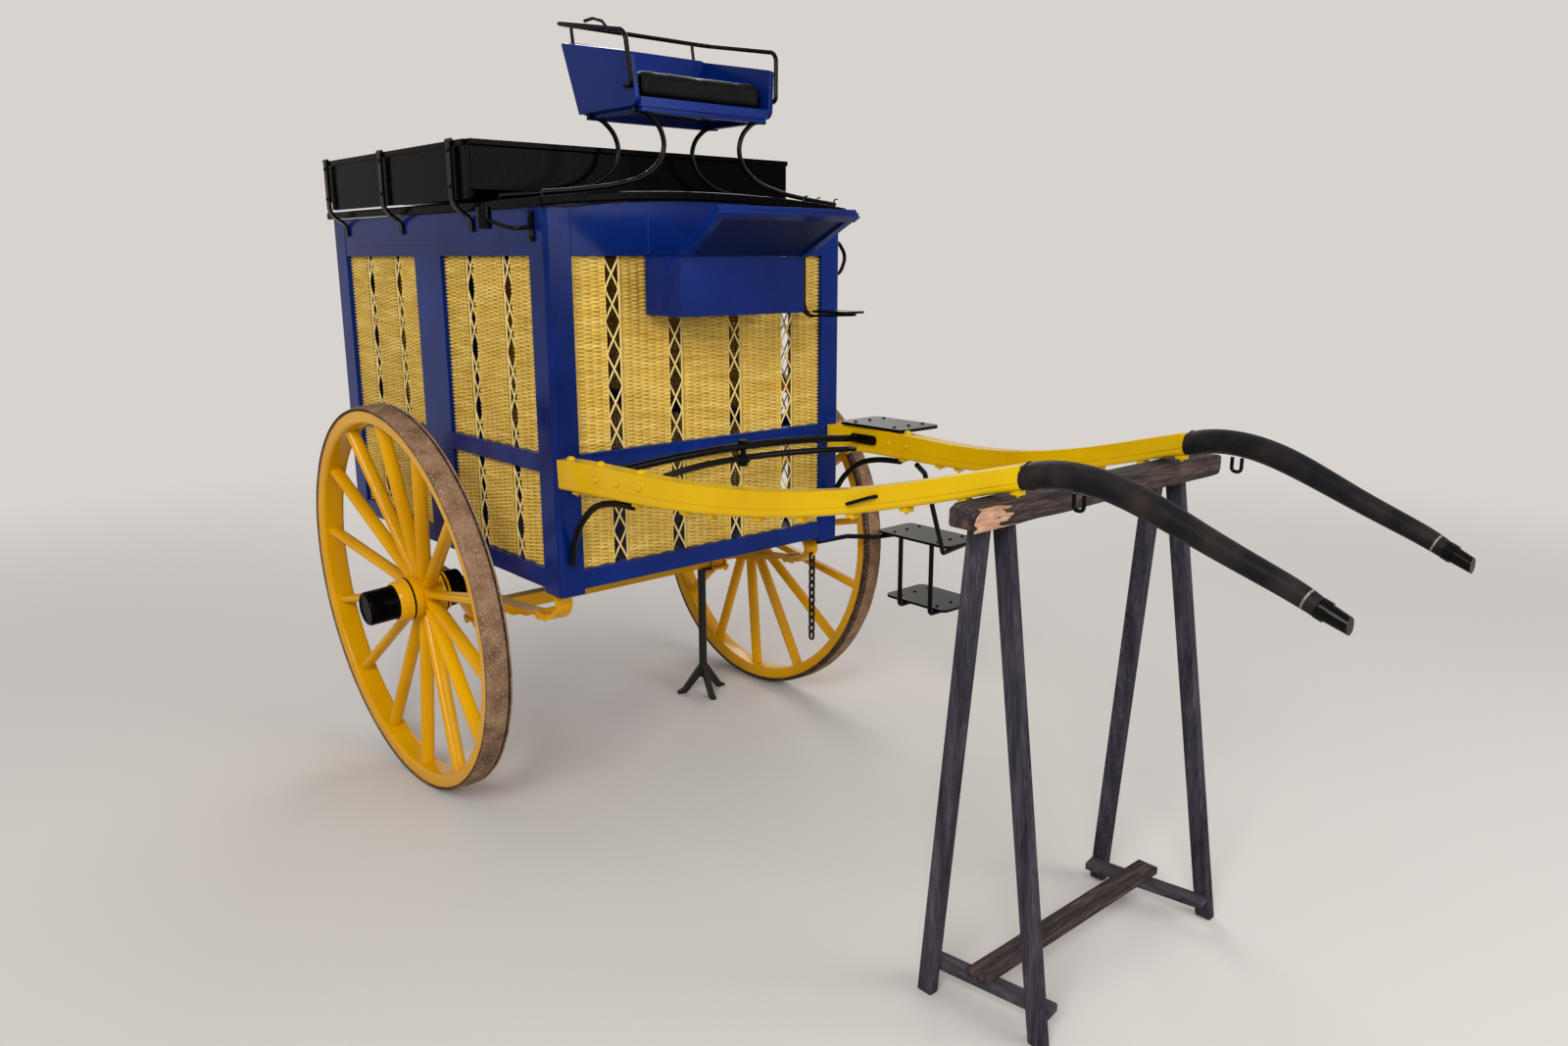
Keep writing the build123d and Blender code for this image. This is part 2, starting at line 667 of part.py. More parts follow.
with BuildPart() as shaft_sleeves:
    loft(rings(SLEEVE_TABLE))
    mirror(about=MID)
shaft_sleeves.part.label = "shaft_sleeves"
export_step(shaft_sleeves.part, "parts/shaft_sleeves.step")

with BuildPart() as shaft_tips:
    tip_from = Vector(*place(FRONT + SLEEVE_TABLE[-1][0], *SLEEVE_TABLE[-1][1:3]))
    tip_to = Vector(*place(FRONT + TIP_END[0], *TIP_END[1:3]))
    along = (tip_to - tip_from).normalized()
    reach = (tip_to - tip_from).length
    with BuildSketch(Plane(tip_from, x_dir=(0, 1, 0), z_dir=along).offset(1.0)):
        Circle(18.5)
    extrude(amount=reach * 0.3)
    with BuildSketch(Plane(tip_from, x_dir=(0, 1, 0), z_dir=along).offset(1.0 + reach * 0.3)):
        Circle(16.0)
    extrude(amount=reach * 0.7 + 12.0, taper=3)
    split(bisect_by=Plane((TIP_FRONT, 0, 0), z_dir=(1, 0, 0)), keep=Keep.BOTTOM)
    mirror(about=MID)
shaft_tips.part.label = "shaft_tips"
export_step(shaft_tips.part, "parts/shaft_tips.step")

# Irons on the shafts: stays to the front posts, staples and tug stops
STAY_ROUTE = (  # X ahead of the front wall, height
    (9.5, 795.0),
    (12.0, 845.0),
    (56.0, 920.0),
    (135.0, 984.0),
    (225.0, 1005.0),
    (315.0, 1009.0),
)
TUG_X = 1486.0
TUG_Y = 296.5
TUG_LOW = 1166.0
STAPLE = ((988.0, 1114.0), (1056.0, 1138.0))  # X ahead of the front wall, height
with BuildPart() as shaft_irons:
    rod([place(FRONT + x, 494.0, z) for x, z in STAY_ROUTE], 9.0)
    rod(
        [
            place(FRONT + TUG_X + x, TUG_Y, z)
            for x, z in ((-11, 1197.5), (-11, TUG_LOW), (11, TUG_LOW), (11, 1197.5))
        ],
        4.0,
        most=9.0,
    )
    rod(
        [
            place(FRONT + STAPLE[0][0], 397.5, STAPLE[0][1]),
            place(FRONT + STAPLE[0][0] + 2, 409.0, STAPLE[0][1]),
            place(FRONT + STAPLE[1][0] - 2, 396.0, STAPLE[1][1]),
            place(FRONT + STAPLE[1][0], 384.5, STAPLE[1][1]),
        ],
        4.0,
        most=7.0,
    )
    mirror(about=MID)
shaft_irons.part.label = "shaft_irons"
export_step(shaft_irons.part, "parts/shaft_irons.step")

# Crossbar between the shafts, with the pivot bolt of the swingletree
PIVOT_X = FRONT + 152.0
BAR_ENDS = (470.0, 1065.0)  # Y from the centreline, height
BAR_CREST = 1091.0
BAR_R = 11.0
BOLT_R = 8.0
EYE_LOW = 1044.0
EYE_TALL = 24.0
with BuildPart() as crossbar:
    with BuildLine() as route:
        ThreePointArc(
            place(PIVOT_X, -BAR_ENDS[0], BAR_ENDS[1]),
            place(PIVOT_X, 0, BAR_CREST),
            place(PIVOT_X, BAR_ENDS[0], BAR_ENDS[1]),
        )
    with BuildSketch(Plane(route.line @ 0, z_dir=route.line % 0)):
        Circle(BAR_R)
    sweep(path=route.line)
    for sign in (-1, 1):
        with BuildSketch(at_y(sign * (BAR_ENDS[0] + 1.0))):
            with Locations((PIVOT_X + 22.0, BAR_ENDS[1])):
                RectangleRounded(110.0, 30.0, 12.0)
        extrude(amount=2.5, both=True)
    with BuildSketch(at_z(EYE_LOW - 3.0)):
        with Locations((PIVOT_X, 0)):
            Circle(BOLT_R)
    extrude(amount=BAR_CREST + BAR_R + 8.0 - EYE_LOW)
    for low in (EYE_LOW - 11.0, BAR_CREST + BAR_R - 2.0):
        with BuildSketch(at_z(low)):
            with Locations((PIVOT_X, 0)):
                RegularPolygon(14.0, 6)
        extrude(amount=9.0)
crossbar.part.label = "crossbar"
export_step(crossbar.part, "parts/crossbar.step")

# Swingletree: a bowed iron that turns on the pivot bolt, with an eye for a trace at each end
SWING_END = (88.0, 338.0)  # X ahead of the pivot, Y from the centreline
SWING_Z = EYE_LOW + EYE_TALL / 2
TRACE_BORE = 9.0
with BuildPart() as swingletree:
    with BuildLine() as route:
        ThreePointArc(
            place(PIVOT_X + SWING_END[0], -SWING_END[1], SWING_Z),
            place(PIVOT_X, 0, SWING_Z),
            place(PIVOT_X + SWING_END[0], SWING_END[1], SWING_Z),
        )
    with BuildSketch(Plane(route.line @ 0, z_dir=route.line % 0)):
        Circle(9.5)
    sweep(path=route.line)
    with BuildSketch(at_z(EYE_LOW)):
        with Locations((PIVOT_X, 0)):
            Circle(20.0)
    extrude(amount=EYE_TALL)
    with BuildSketch(at_z(SWING_Z - 5.0)):
        for sign in (-1, 1):
            with Locations((PIVOT_X + SWING_END[0] + 4.0, sign * (SWING_END[1] + 10.0))):
                Circle(TRACE_BORE + 8.0)
    extrude(amount=10.0)
    with BuildSketch(at_z(EYE_LOW - 1.0)):
        with Locations((PIVOT_X, 0)):
            Circle(BOLT_R + 0.08)
        for sign in (-1, 1):
            with Locations((PIVOT_X + SWING_END[0] + 4.0, sign * (SWING_END[1] + 10.0))):
                Circle(TRACE_BORE)
    extrude(amount=EYE_TALL + 2.0, mode=Mode.SUBTRACT)
swingletree.part.label = "swingletree"
export_step(swingletree.part, "parts/swingletree.step")

# Axle: a bed dropped between the wheels, cranked up to leaning stubs
camber = radians(CAMBER)
RIM_Z = (TYRE_R - TYRE_ROUND) * cos(camber) + (TYRE_WIDE / 2 - TYRE_ROUND) * sin(camber) + TYRE_ROUND


def on_wheel(sign, along):
    """Plane across the wheel's own axis, measured outwards from the middle of its rim."""
    outward = Vector(0, sign * cos(camber), -sin(camber))
    return Plane(Vector(*place(AXLE_X, sign * RIM_Y, RIM_Z)) + outward * along, x_dir=(1, 0, 0), z_dir=outward)


AXLE_TOP = AXLE_LOW + AXLE_SIZE
CRANK_TOP = 634.0
FLANGE_R = 37.0
with BuildPart() as axle:
    with BuildSketch(at_x(AXLE_X)):
        Polygon(
            (0, AXLE_LOW),
            (514, AXLE_LOW),
            (549, 566),
            (549, CRANK_TOP),
            (519, CRANK_TOP),
            (509, AXLE_TOP),
            (0, AXLE_TOP),
            align=None,
        )
    extrude(amount=AXLE_SIZE / 2, both=True)
    with BuildSketch(on_wheel(1, NAVE_IN - 24.0)):
        Circle(FLANGE_R)
    extrude(amount=23.0)
    with BuildSketch(on_wheel(1, NAVE_IN - 20.0)):
        Circle(STUB_R)
    extrude(amount=STUB_END - NAVE_IN + 20.0)
    mirror(about=MID)
axle.part.label = "axle"
export_step(axle.part, "parts/axle.step")

# Leaf springs, clipped on top of the axle
LEAVES = (434.0, 356.0, 278.0, 200.0, 122.0)  # half lengths, the master leaf first
PACK_TOP = AXLE_TOP + LEAF * len(LEAVES)
SPRING_RISE = EYE_Z - PACK_TOP
EYE_R = 14.0
PIN_R = 6.0
BOW = (SPRING_HALF**2 + SPRING_RISE**2) / (2 * SPRING_RISE)


def leaf_height(reach, drop):
    """Height of a leaf's surface at a distance from the axle, drop below the pack's top."""
    return PACK_TOP + BOW - ((BOW + drop) ** 2 - reach**2) ** 0.5


with BuildPart() as springs:
    with BuildSketch(at_y(SPRING_Y)):
        for i, reach in enumerate(LEAVES):
            upper, lower = LEAF * i, LEAF * (i + 1)
            with BuildLine():
                tops = [(AXLE_X + s * reach, leaf_height(reach, upper)) for s in (-1, 0, 1)]
                lows = [(AXLE_X + s * reach, leaf_height(reach, lower)) for s in (-1, 0, 1)]
                ThreePointArc(tops[0], (AXLE_X, leaf_height(0, upper)), tops[2])
                ThreePointArc(lows[0], (AXLE_X, leaf_height(0, lower)), lows[2])
                Line(tops[0], lows[0])
                Line(tops[2], lows[2])
            make_face()
        with Locations(*[(AXLE_X + s * SPRING_HALF, EYE_Z - 4.0) for s in (-1, 1)]):
            Circle(EYE_R)
            Circle(PIN_R + 0.2, mode=Mode.SUBTRACT)
    extrude(amount=SPRING_WIDE / 2, both=True)
    mirror(about=MID)
springs.part.label = "springs"
export_step(springs.part, "parts/springs.step")

# Plates under the axle and the two bolts of each, bent over the spring
CLIP_PLATE = 9.0
CLIP_R = 5.0
CLIP_X = 30.0  # each bolt from the axle's middle
CLIP_Y = SPRING_WIDE / 2 + CLIP_R + 0.8
with BuildPart() as axle_clips:
    with BuildSketch(at_z(AXLE_LOW - CLIP_PLATE)):
        with Locations((AXLE_X, SPRING_Y)):
            RectangleRounded(96.0, 78.0, 14.0)
    extrude(amount=CLIP_PLATE)
    for x in (AXLE_X - CLIP_X, AXLE_X + CLIP_X):
        low = AXLE_LOW - CLIP_PLATE - 14.0
        high = PACK_TOP + CLIP_R + 1.0
        corners = ((-CLIP_Y, low), (-CLIP_Y, high), (CLIP_Y, high), (CLIP_Y, low))
        rod([place(x, SPRING_Y + y, z) for y, z in corners], CLIP_R, most=6.0)
    with BuildSketch(at_z(AXLE_LOW - CLIP_PLATE - 8.0)):
        for x in (-CLIP_X, CLIP_X):
            for y in (-CLIP_Y, CLIP_Y):
                with Locations((AXLE_X + x, SPRING_Y + y)):
                    RegularPolygon(9.0, 6)
    extrude(amount=8.0)
    mirror(about=MID)
axle_clips.part.label = "axle_clips"
export_step(axle_clips.part, "parts/axle_clips.step")

# Scroll irons that carry the springs' eyes under the sills
SCROLL_ROUTE = (  # X behind the front wall, height
    (-300.0, 708.0),
    (-108.0, 708.0),
    (-64.0, 660.0),
    (-104.0, 616.0),
    (-157.0, 611.0),
)
SCROLL_THICK = 14.0
CHEEK = 6.0
with BuildPart() as spring_hangers:
    for turn in (1, -1):
        ends = [(AXLE_X + turn * (610.0 + x), z) for x, z in SCROLL_ROUTE]
        bar([(x, z) for x, z in ends], at_y(SPRING_Y), SPRING_WIDE, SCROLL_THICK)
        eye = (AXLE_X + turn * SPRING_HALF, EYE_Z - 4.0)
        for y in (-1, 1):
            inner = SPRING_WIDE / 2 + 0.2
            with BuildSketch(at_y(SPRING_Y + y * (inner + CHEEK / 2))):
                with Locations(eye):
                    Circle(EYE_R)
                with Locations((eye[0] + turn * 22.0, eye[1])):
                    Rectangle(44.0, 20.0)
            extrude(amount=CHEEK / 2 + 0.2, both=True)
        with BuildSketch(at_y(SPRING_Y)):
            with Locations(eye):
                Circle(PIN_R)
        extrude(amount=SPRING_WIDE / 2 + CHEEK, both=True)
    mirror(about=MID)
    hook = ((-74.0, 461.0, 646.0), (-40.0, 461.0, 646.0), (-34.0, 461.0, 662.0))
    rod([place(FRONT + x, y, z) for x, y, z in hook], 4.0, most=8.0)
spring_hangers.part.label = "spring_hangers"
export_step(spring_hangers.part, "parts/spring_hangers.step")

# Chain that hangs from the hook on the left front scroll iron
LINKS = 12
LINK = (38.0, 24.0, 6.0)  # length, width, thickness of the iron
LINK_PITCH = 25.0
with BuildPart() as drag_chain:
    for i in range(LINKS):
        spot = place(FRONT - 48.0, 461.0, 650.3 + LINK[2] - LINK[0] / 2 - i * LINK_PITCH)
        across = (1, 0, 0) if i % 2 == 0 else (0, 1, 0)
        with BuildSketch(Plane(spot, x_dir=(0, 0, 1), z_dir=across)):
            SlotOverall(LINK[0], LINK[1])
            SlotOverall(LINK[0] - 2 * LINK[2], LINK[1] - 2 * LINK[2], mode=Mode.SUBTRACT)
        extrude(amount=LINK[2] / 2, both=True)
drag_chain.part.label = "drag_chain"
export_step(drag_chain.part, "parts/drag_chain.step")

# Steps on the left side: three iron plates
STEP_THICK = 10.0
STEPS = (  # front end, rear end, inner edge, outer edge, top
    (330.0, 5.0, 714.0, 890.0, 702.0),
    (300.0, 25.0, 742.0, 940.0, 470.0),
    (340.0, 60.0, 470.0, 650.0, 1111.0),
)
with BuildPart() as step_plates:
    for ahead, behind, inner, outer, top in STEPS:
        with BuildSketch(at_z(top - STEP_THICK)):
            with Locations((FRONT + (ahead + behind) / 2, (inner + outer) / 2)):
                RectangleRounded(ahead - behind, outer - inner, 26.0)
        extrude(amount=STEP_THICK)
step_plates.part.label = "step_plates"
export_step(step_plates.part, "parts/step_plates.step")

# Irons of the steps, each a route of X ahead of the front wall, Y and height
STEP_IRON_R = 8.0
UPPER_LINE = STEPS[0][4] - STEP_THICK - STEP_IRON_R - 0.2
LOWER_LINE = STEPS[1][4] - STEP_THICK - STEP_IRON_R - 0.2
STEP_ROUTES = (
    ((-30.0, 470.0, 692.5), (-24.0, 600.0, 692.0), (28.0, 694.0, UPPER_LINE), (66.0, 868.0, UPPER_LINE)),
    ((396.0, 478.0, 1012.0), (392.0, 520.0, 980.0), (326.0, 696.0, UPPER_LINE), (290.0, 868.0, UPPER_LINE)),
    ((112.0, 727.0, UPPER_LINE + STEP_IRON_R), (112.0, 727.0, LOWER_LINE), (112.0, 920.0, LOWER_LINE)),
    ((250.0, 727.0, UPPER_LINE + STEP_IRON_R), (250.0, 727.0, LOWER_LINE), (250.0, 920.0, LOWER_LINE)),
)
with BuildPart() as step_irons:
    for route in STEP_ROUTES:
        rod([place(FRONT + x, y, z) for x, y, z in route], STEP_IRON_R, most=14.0)
step_irons.part.label = "step_irons"
export_step(step_irons.part, "parts/step_irons.step")

# Stand under the left end of the axle bed
STAND_Y = 419.0
STAND_R = 15.0
STAND_TOES = (92, -14, -118)  # bearing of each toe in degrees from +X
with BuildPart() as axle_stand:
    with BuildSketch(at_z(62.0)):
        with Locations((AXLE_X, STAND_Y)):
            Circle(STAND_R)
    extrude(amount=AXLE_LOW - 6.0 - 62.0)
    with BuildSketch(at_z(AXLE_LOW - 6.2)):
        with Locations((AXLE_X, STAND_Y)):
            RectangleRounded(84.0, 42.0, 8.0)
    extrude(amount=6.0)
    for bearing in STAND_TOES:
        ahead = (cos(radians(bearing)), sin(radians(bearing)), 0)
        crossways = (sin(radians(bearing)), -cos(radians(bearing)), 0)
        with BuildSketch(Plane(place(AXLE_X, STAND_Y, 0), x_dir=ahead, z_dir=crossways)):
            Polygon((6, 124), (6, 74), (56, 14), (70, 0), (100, 0), (100, 8), (80, 20), align=None)
        extrude(amount=9.0, both=True)
axle_stand.part.label = "axle_stand"
export_step(axle_stand.part, "parts/axle_stand.step")

# Trestle that the shafts rest on: a flat worn beam and four splayed legs
BEAM = (78.0, 48.0)  # along X, height
BEAM_ROUND = 9.0
BEAM_ENDS = (-430.0, 500.0)
shaft_rise = atan2(92.0, 343.0)
edge_rise = (BEAM[0] / 2 - BEAM_ROUND) * tan(shaft_rise) + (BEAM_ROUND + 1.0) / cos(shaft_rise)
BEAM_TOP = 1176.0 - edge_rise + BEAM_ROUND  # its rear edge touches the rising shafts
LEG_TOP = BEAM_TOP - BEAM[1]
with BuildPart() as trestle_beam:
    with BuildSketch(at_y(BEAM_ENDS[1])):
        with Locations((BEAM_X, BEAM_TOP - BEAM[1] / 2)):
            RectangleRounded(*BEAM, BEAM_ROUND)
    extrude(amount=BEAM_ENDS[1] - BEAM_ENDS[0])
trestle_beam.part.label = "trestle_beam"
export_step(trestle_beam.part, "parts/trestle_beam.step")

LEG = (40.0, 26.0)  # along X, along Y
LEGS = (  # foot X ahead of the front wall, foot Y, top Y
    (1174.0, -311.0, -372.0),
    (1454.0, -276.0, -297.0),
    (1158.0, 398.0, 246.0),
    (1441.0, 439.0, 344.0),
)
BRACE = (20.0, 42.0)  # height, width
BRACE_LOW = 52.0
STRETCHER = (56.0, 700.0, 20.0)  # along X, along Y, height
with BuildPart() as trestle_frame:
    for foot_x, foot_y, top_y in LEGS:
        with BuildPart(mode=Mode.PRIVATE) as leg:
            with BuildSketch(at_z(0)):
                with Locations((FRONT + foot_x, foot_y)):
                    Rectangle(*LEG)
            with BuildSketch(at_z(LEG_TOP - 0.2)):
                with Locations((BEAM_X, top_y)):
                    Rectangle(*LEG)
            loft()
        add(leg.part)
    for (foot_a, y_a, top_a), (foot_b, y_b, top_b) in (LEGS[0:2], LEGS[2:4]):
        level = (BRACE_LOW + BRACE[0]) / LEG_TOP
        ahead = (FRONT + foot_b + (BEAM_X - FRONT - foot_b) * level, y_b + (top_b - y_b) * level)
        behind = (FRONT + foot_a + (BEAM_X - FRONT - foot_a) * level, y_a + (top_a - y_a) * level)
        along = atan2(ahead[1] - behind[1], ahead[0] - behind[0])
        middle = ((ahead[0] + behind[0]) / 2, (ahead[1] + behind[1]) / 2)
        inwards = 1 if y_a < 0 else -1
        away = LEG[1] / 2 / cos(along) + LEG[0] / 2 * abs(sin(along)) + BRACE[1] / 2 + 4
        with BuildSketch(Plane(place(*middle, BRACE_LOW), x_dir=(cos(along), sin(along), 0))):
            with Locations((0, inwards * away)):
                Rectangle(ahead[0] - behind[0] + LEG[0], BRACE[1])
        extrude(amount=BRACE[0])
    with BuildSketch(at_z(BRACE_LOW + BRACE[0] + 0.3)):
        with Locations((FRONT + 1290.0, (LEGS[0][1] + LEGS[3][1]) / 2)):
            Rectangle(*STRETCHER[:2])
    extrude(amount=STRETCHER[2])
trestle_frame.part.label = "trestle_frame"
export_step(trestle_frame.part, "parts/trestle_frame.step")

# Wheels, leaning outwards; profiles are distance along the axle and radius
NAVE_PROFILE = (
    (NAVE_IN, STUB_R + 0.08),
    (NAVE_IN, COLLAR_R),
    (-124.0, COLLAR_R),
    (-122.0, NAVE_RING_R),
    (-100.0, NAVE_RING_R),
    (-98.0, NAVE_R),
    (-36.0, NAVE_R),
    (-34.0, NAVE_RING_R),
    (4.0, NAVE_RING_R),
    (NAVE_OUT, COLLAR_R),
    (NAVE_OUT, STUB_R + 0.08),
)
REACH = 850.0  # hub cap's end from the centreline
CAP_FACE_R = 44.0
cap_face = (REACH - RIM_Y - CAP_FACE_R * sin(camber)) / cos(camber)
CAP_PROFILE = (
    (NAVE_OUT, 30.0),
    (NAVE_OUT, CAP_R),
    (cap_face - 10, CAP_R),
    (cap_face - 3, CAP_R - 3),
    (cap_face, CAP_FACE_R),
    (cap_face, 38.0),
    (cap_face - 3, 36.0),
    (cap_face - 3, 0),
    (cap_face - 22, 0),
    (cap_face - 22, 30.0),
)
FELLOE_PROFILE = (
    (-RIM_WIDE / 2, RIM_R),
    (-RIM_WIDE / 2, RIM_R - RIM_DEPTH + RIM_CORNER),
    (-RIM_WIDE / 2 + RIM_CORNER, RIM_R - RIM_DEPTH),
    (RIM_WIDE / 2 - RIM_CORNER, RIM_R - RIM_DEPTH),
    (RIM_WIDE / 2, RIM_R - RIM_DEPTH + RIM_CORNER),
    (RIM_WIDE / 2, RIM_R),
)
SPOKE_FOOT = (46.0, 26.0)  # along the axle, around the wheel
SPOKE_HEAD = (42.0, 29.0)


def turned(profile, plane):
    """A ring turned about a wheel's axis from a profile; adds to the open part."""
    with BuildSketch(plane) as section:
        with BuildLine():
            Polyline(*profile, close=True)
        make_face()
    revolve(section.sketch, axis=Axis(plane.origin, plane.x_dir))


for side, sign in SIDES:
    across = on_wheel(sign, 0)
    lengthways = Plane(across.origin, x_dir=across.z_dir, z_dir=(1, 0, 0))
    with BuildPart() as nave:
        turned(NAVE_PROFILE, lengthways)
    nave.part.label = f"nave_{side}"
    export_step(nave.part, f"parts/nave_{side}.step")

    with BuildPart() as hub_cap:
        turned(CAP_PROFILE, lengthways)
    hub_cap.part.label = f"hub_cap_{side}"
    export_step(hub_cap.part, f"parts/hub_cap_{side}.step")

    with BuildPart() as felloe:
        turned(FELLOE_PROFILE, lengthways)
    felloe.part.label = f"felloe_{side}"
    export_step(felloe.part, f"parts/felloe_{side}.step")

    with BuildPart() as tyre:
        with BuildSketch(lengthways):
            with BuildLine():
                FilletPolyline(
                    (-TYRE_WIDE / 2, RIM_R),
                    (-TYRE_WIDE / 2, TYRE_R),
                    (TYRE_WIDE / 2, TYRE_R),
                    (TYRE_WIDE / 2, RIM_R),
                    radius=TYRE_ROUND,
                )
                Line((TYRE_WIDE / 2, RIM_R), (-TYRE_WIDE / 2, RIM_R))
            make_face()
        revolve(axis=Axis(across.origin, across.z_dir))
    tyre.part.label = f"tyre_{side}"
    export_step(tyre.part, f"parts/tyre_{side}.step")

    with BuildPart() as spokes:
        for i in range(SPOKES):
            bearing = 2 * pi * (i + 0.5) / SPOKES
            ray = across.x_dir * cos(bearing) + across.y_dir * sin(bearing)
            round_about = across.z_dir.cross(ray)
            with BuildPart(mode=Mode.PRIVATE) as spoke:
                for radius, along, size in (
                    (NAVE_R - 12, -DISH, SPOKE_FOOT),
                    (RIM_R - RIM_DEPTH + 6, 0, SPOKE_HEAD),
                ):
                    spot = across.origin + ray * radius + across.z_dir * along
                    with BuildSketch(Plane(spot, x_dir=round_about, z_dir=ray)):
                        Ellipse(size[1] / 2, size[0] / 2)
                loft()
            add(spoke.part)
        with BuildSketch(across.offset(-2 * DISH)):
            Circle(RIM_R - RIM_DEPTH)
            Circle(NAVE_R, mode=Mode.SUBTRACT)
        extrude(amount=4 * DISH, mode=Mode.INTERSECT)
    spokes.part.label = f"spokes_{side}"
    export_step(spokes.part, f"parts/spokes_{side}.step")
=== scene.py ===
import json
import math
import random

import bmesh
import bpy
from mathutils import Matrix, Vector, noise


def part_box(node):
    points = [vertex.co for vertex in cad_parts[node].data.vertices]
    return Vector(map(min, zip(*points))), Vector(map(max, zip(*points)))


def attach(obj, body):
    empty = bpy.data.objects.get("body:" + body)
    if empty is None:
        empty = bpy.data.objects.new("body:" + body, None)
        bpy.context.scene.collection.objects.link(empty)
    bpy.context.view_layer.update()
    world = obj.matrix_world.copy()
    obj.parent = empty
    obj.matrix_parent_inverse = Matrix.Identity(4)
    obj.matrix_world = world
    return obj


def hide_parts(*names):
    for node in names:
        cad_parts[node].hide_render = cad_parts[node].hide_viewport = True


# Looks of a two-wheeled game cart: coach enamels, woven cane, forged irons, leather, weathered timber
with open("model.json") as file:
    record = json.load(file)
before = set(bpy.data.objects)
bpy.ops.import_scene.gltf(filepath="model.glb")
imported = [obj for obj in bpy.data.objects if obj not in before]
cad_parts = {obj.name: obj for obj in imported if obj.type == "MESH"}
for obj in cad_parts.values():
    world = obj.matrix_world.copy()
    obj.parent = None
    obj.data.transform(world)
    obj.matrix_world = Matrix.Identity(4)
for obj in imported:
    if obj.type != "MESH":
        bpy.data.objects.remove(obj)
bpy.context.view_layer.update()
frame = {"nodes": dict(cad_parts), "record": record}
NODES = frame["nodes"]
SLOT_OF = {part["node"]: part["material_slot"] for part in frame["record"]["subparts"]}
SIDES = (("right", -1), ("left", 1))
MM = 0.001

# Places taken from the frame
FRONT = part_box("corner_posts")[1].x  # front face of the front posts
CENTRE = (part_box("corner_posts")[0].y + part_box("corner_posts")[1].y) / 2  # the cart's centreline
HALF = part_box("corner_posts")[1].y - CENTRE  # half the body's width
CAMBER = math.radians(3.4)
UPPER_TALL = 0.529  # height of the cane above the middle rail, in metres
LOWER_TALL = 0.276  # height of the cane below it
UPPER_ROW = (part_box("wicker_front")[1].z - UPPER_TALL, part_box("wicker_front")[1].z)
LOWER_ROW = (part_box("wicker_front")[0].z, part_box("wicker_front")[0].z + LOWER_TALL)

# Camera at the photograph's place
SENSOR = 36.0
FOCAL_LENGTH = 25.91
CAMERA_SPOT = (2.399, -2.096, 1.620)
CAMERA_TILT = 76.80  # degrees, from looking straight down
CAMERA_TURN = 48.506  # degrees about Z, from looking along +Y


def make_camera():
    lens = bpy.data.cameras.new("camera")
    lens.sensor_width = SENSOR
    lens.lens = FOCAL_LENGTH
    camera = bpy.data.objects.new("camera", lens)
    camera.location = CAMERA_SPOT
    camera.rotation_euler = (math.radians(CAMERA_TILT), 0.0, math.radians(CAMERA_TURN))
    bpy.context.scene.collection.objects.link(camera)
    bpy.context.scene.camera = camera


# Nodes and colours of the materials
def colour(code):
    """Linear colour of an sRGB hex value."""
    parts = [int(code[i : i + 2], 16) / 255 for i in (1, 3, 5)]
    return (*[p / 12.92 if p <= 0.04045 else ((p + 0.055) / 1.055) ** 2.4 for p in parts], 1.0)


def add(tree, kind, inputs=None, output=0, stops=(), **settings):
    """Adds a node with its settings, values and links, and returns one of its outputs.

    Inputs are sockets or values by name or number; stops are a ramp's positions and hex colours.
    """
    made = tree.nodes.new(kind)
    for name, value in settings.items():
        setattr(made, name, value)
    for i, (position, code) in enumerate(stops):
        band = made.color_ramp.elements[i] if i < 2 else made.color_ramp.elements.new(position)
        band.position = position
        band.color = colour(code)
    for socket, source in (inputs or {}).items():
        if isinstance(source, bpy.types.NodeSocket):
            tree.links.new(source, made.inputs[socket])
        else:
            made.inputs[socket].default_value = source
    return made.outputs[output] if made.outputs else made


def new_material(name):
    """An empty material, its tree and its Object coordinates."""
    made = bpy.data.materials.new(name)
    made.use_nodes = True
    made.node_tree.nodes.clear()
    return made, made.node_tree, add(made.node_tree, "ShaderNodeTexCoord", output="Object")


# Alkyd coach enamel, brushed and varnished: even, glossy, faint brush lines, rubbed edges
CLOUD = 350 * MM
BRUSH_LINE = 4 * MM
DUST = 12 * MM


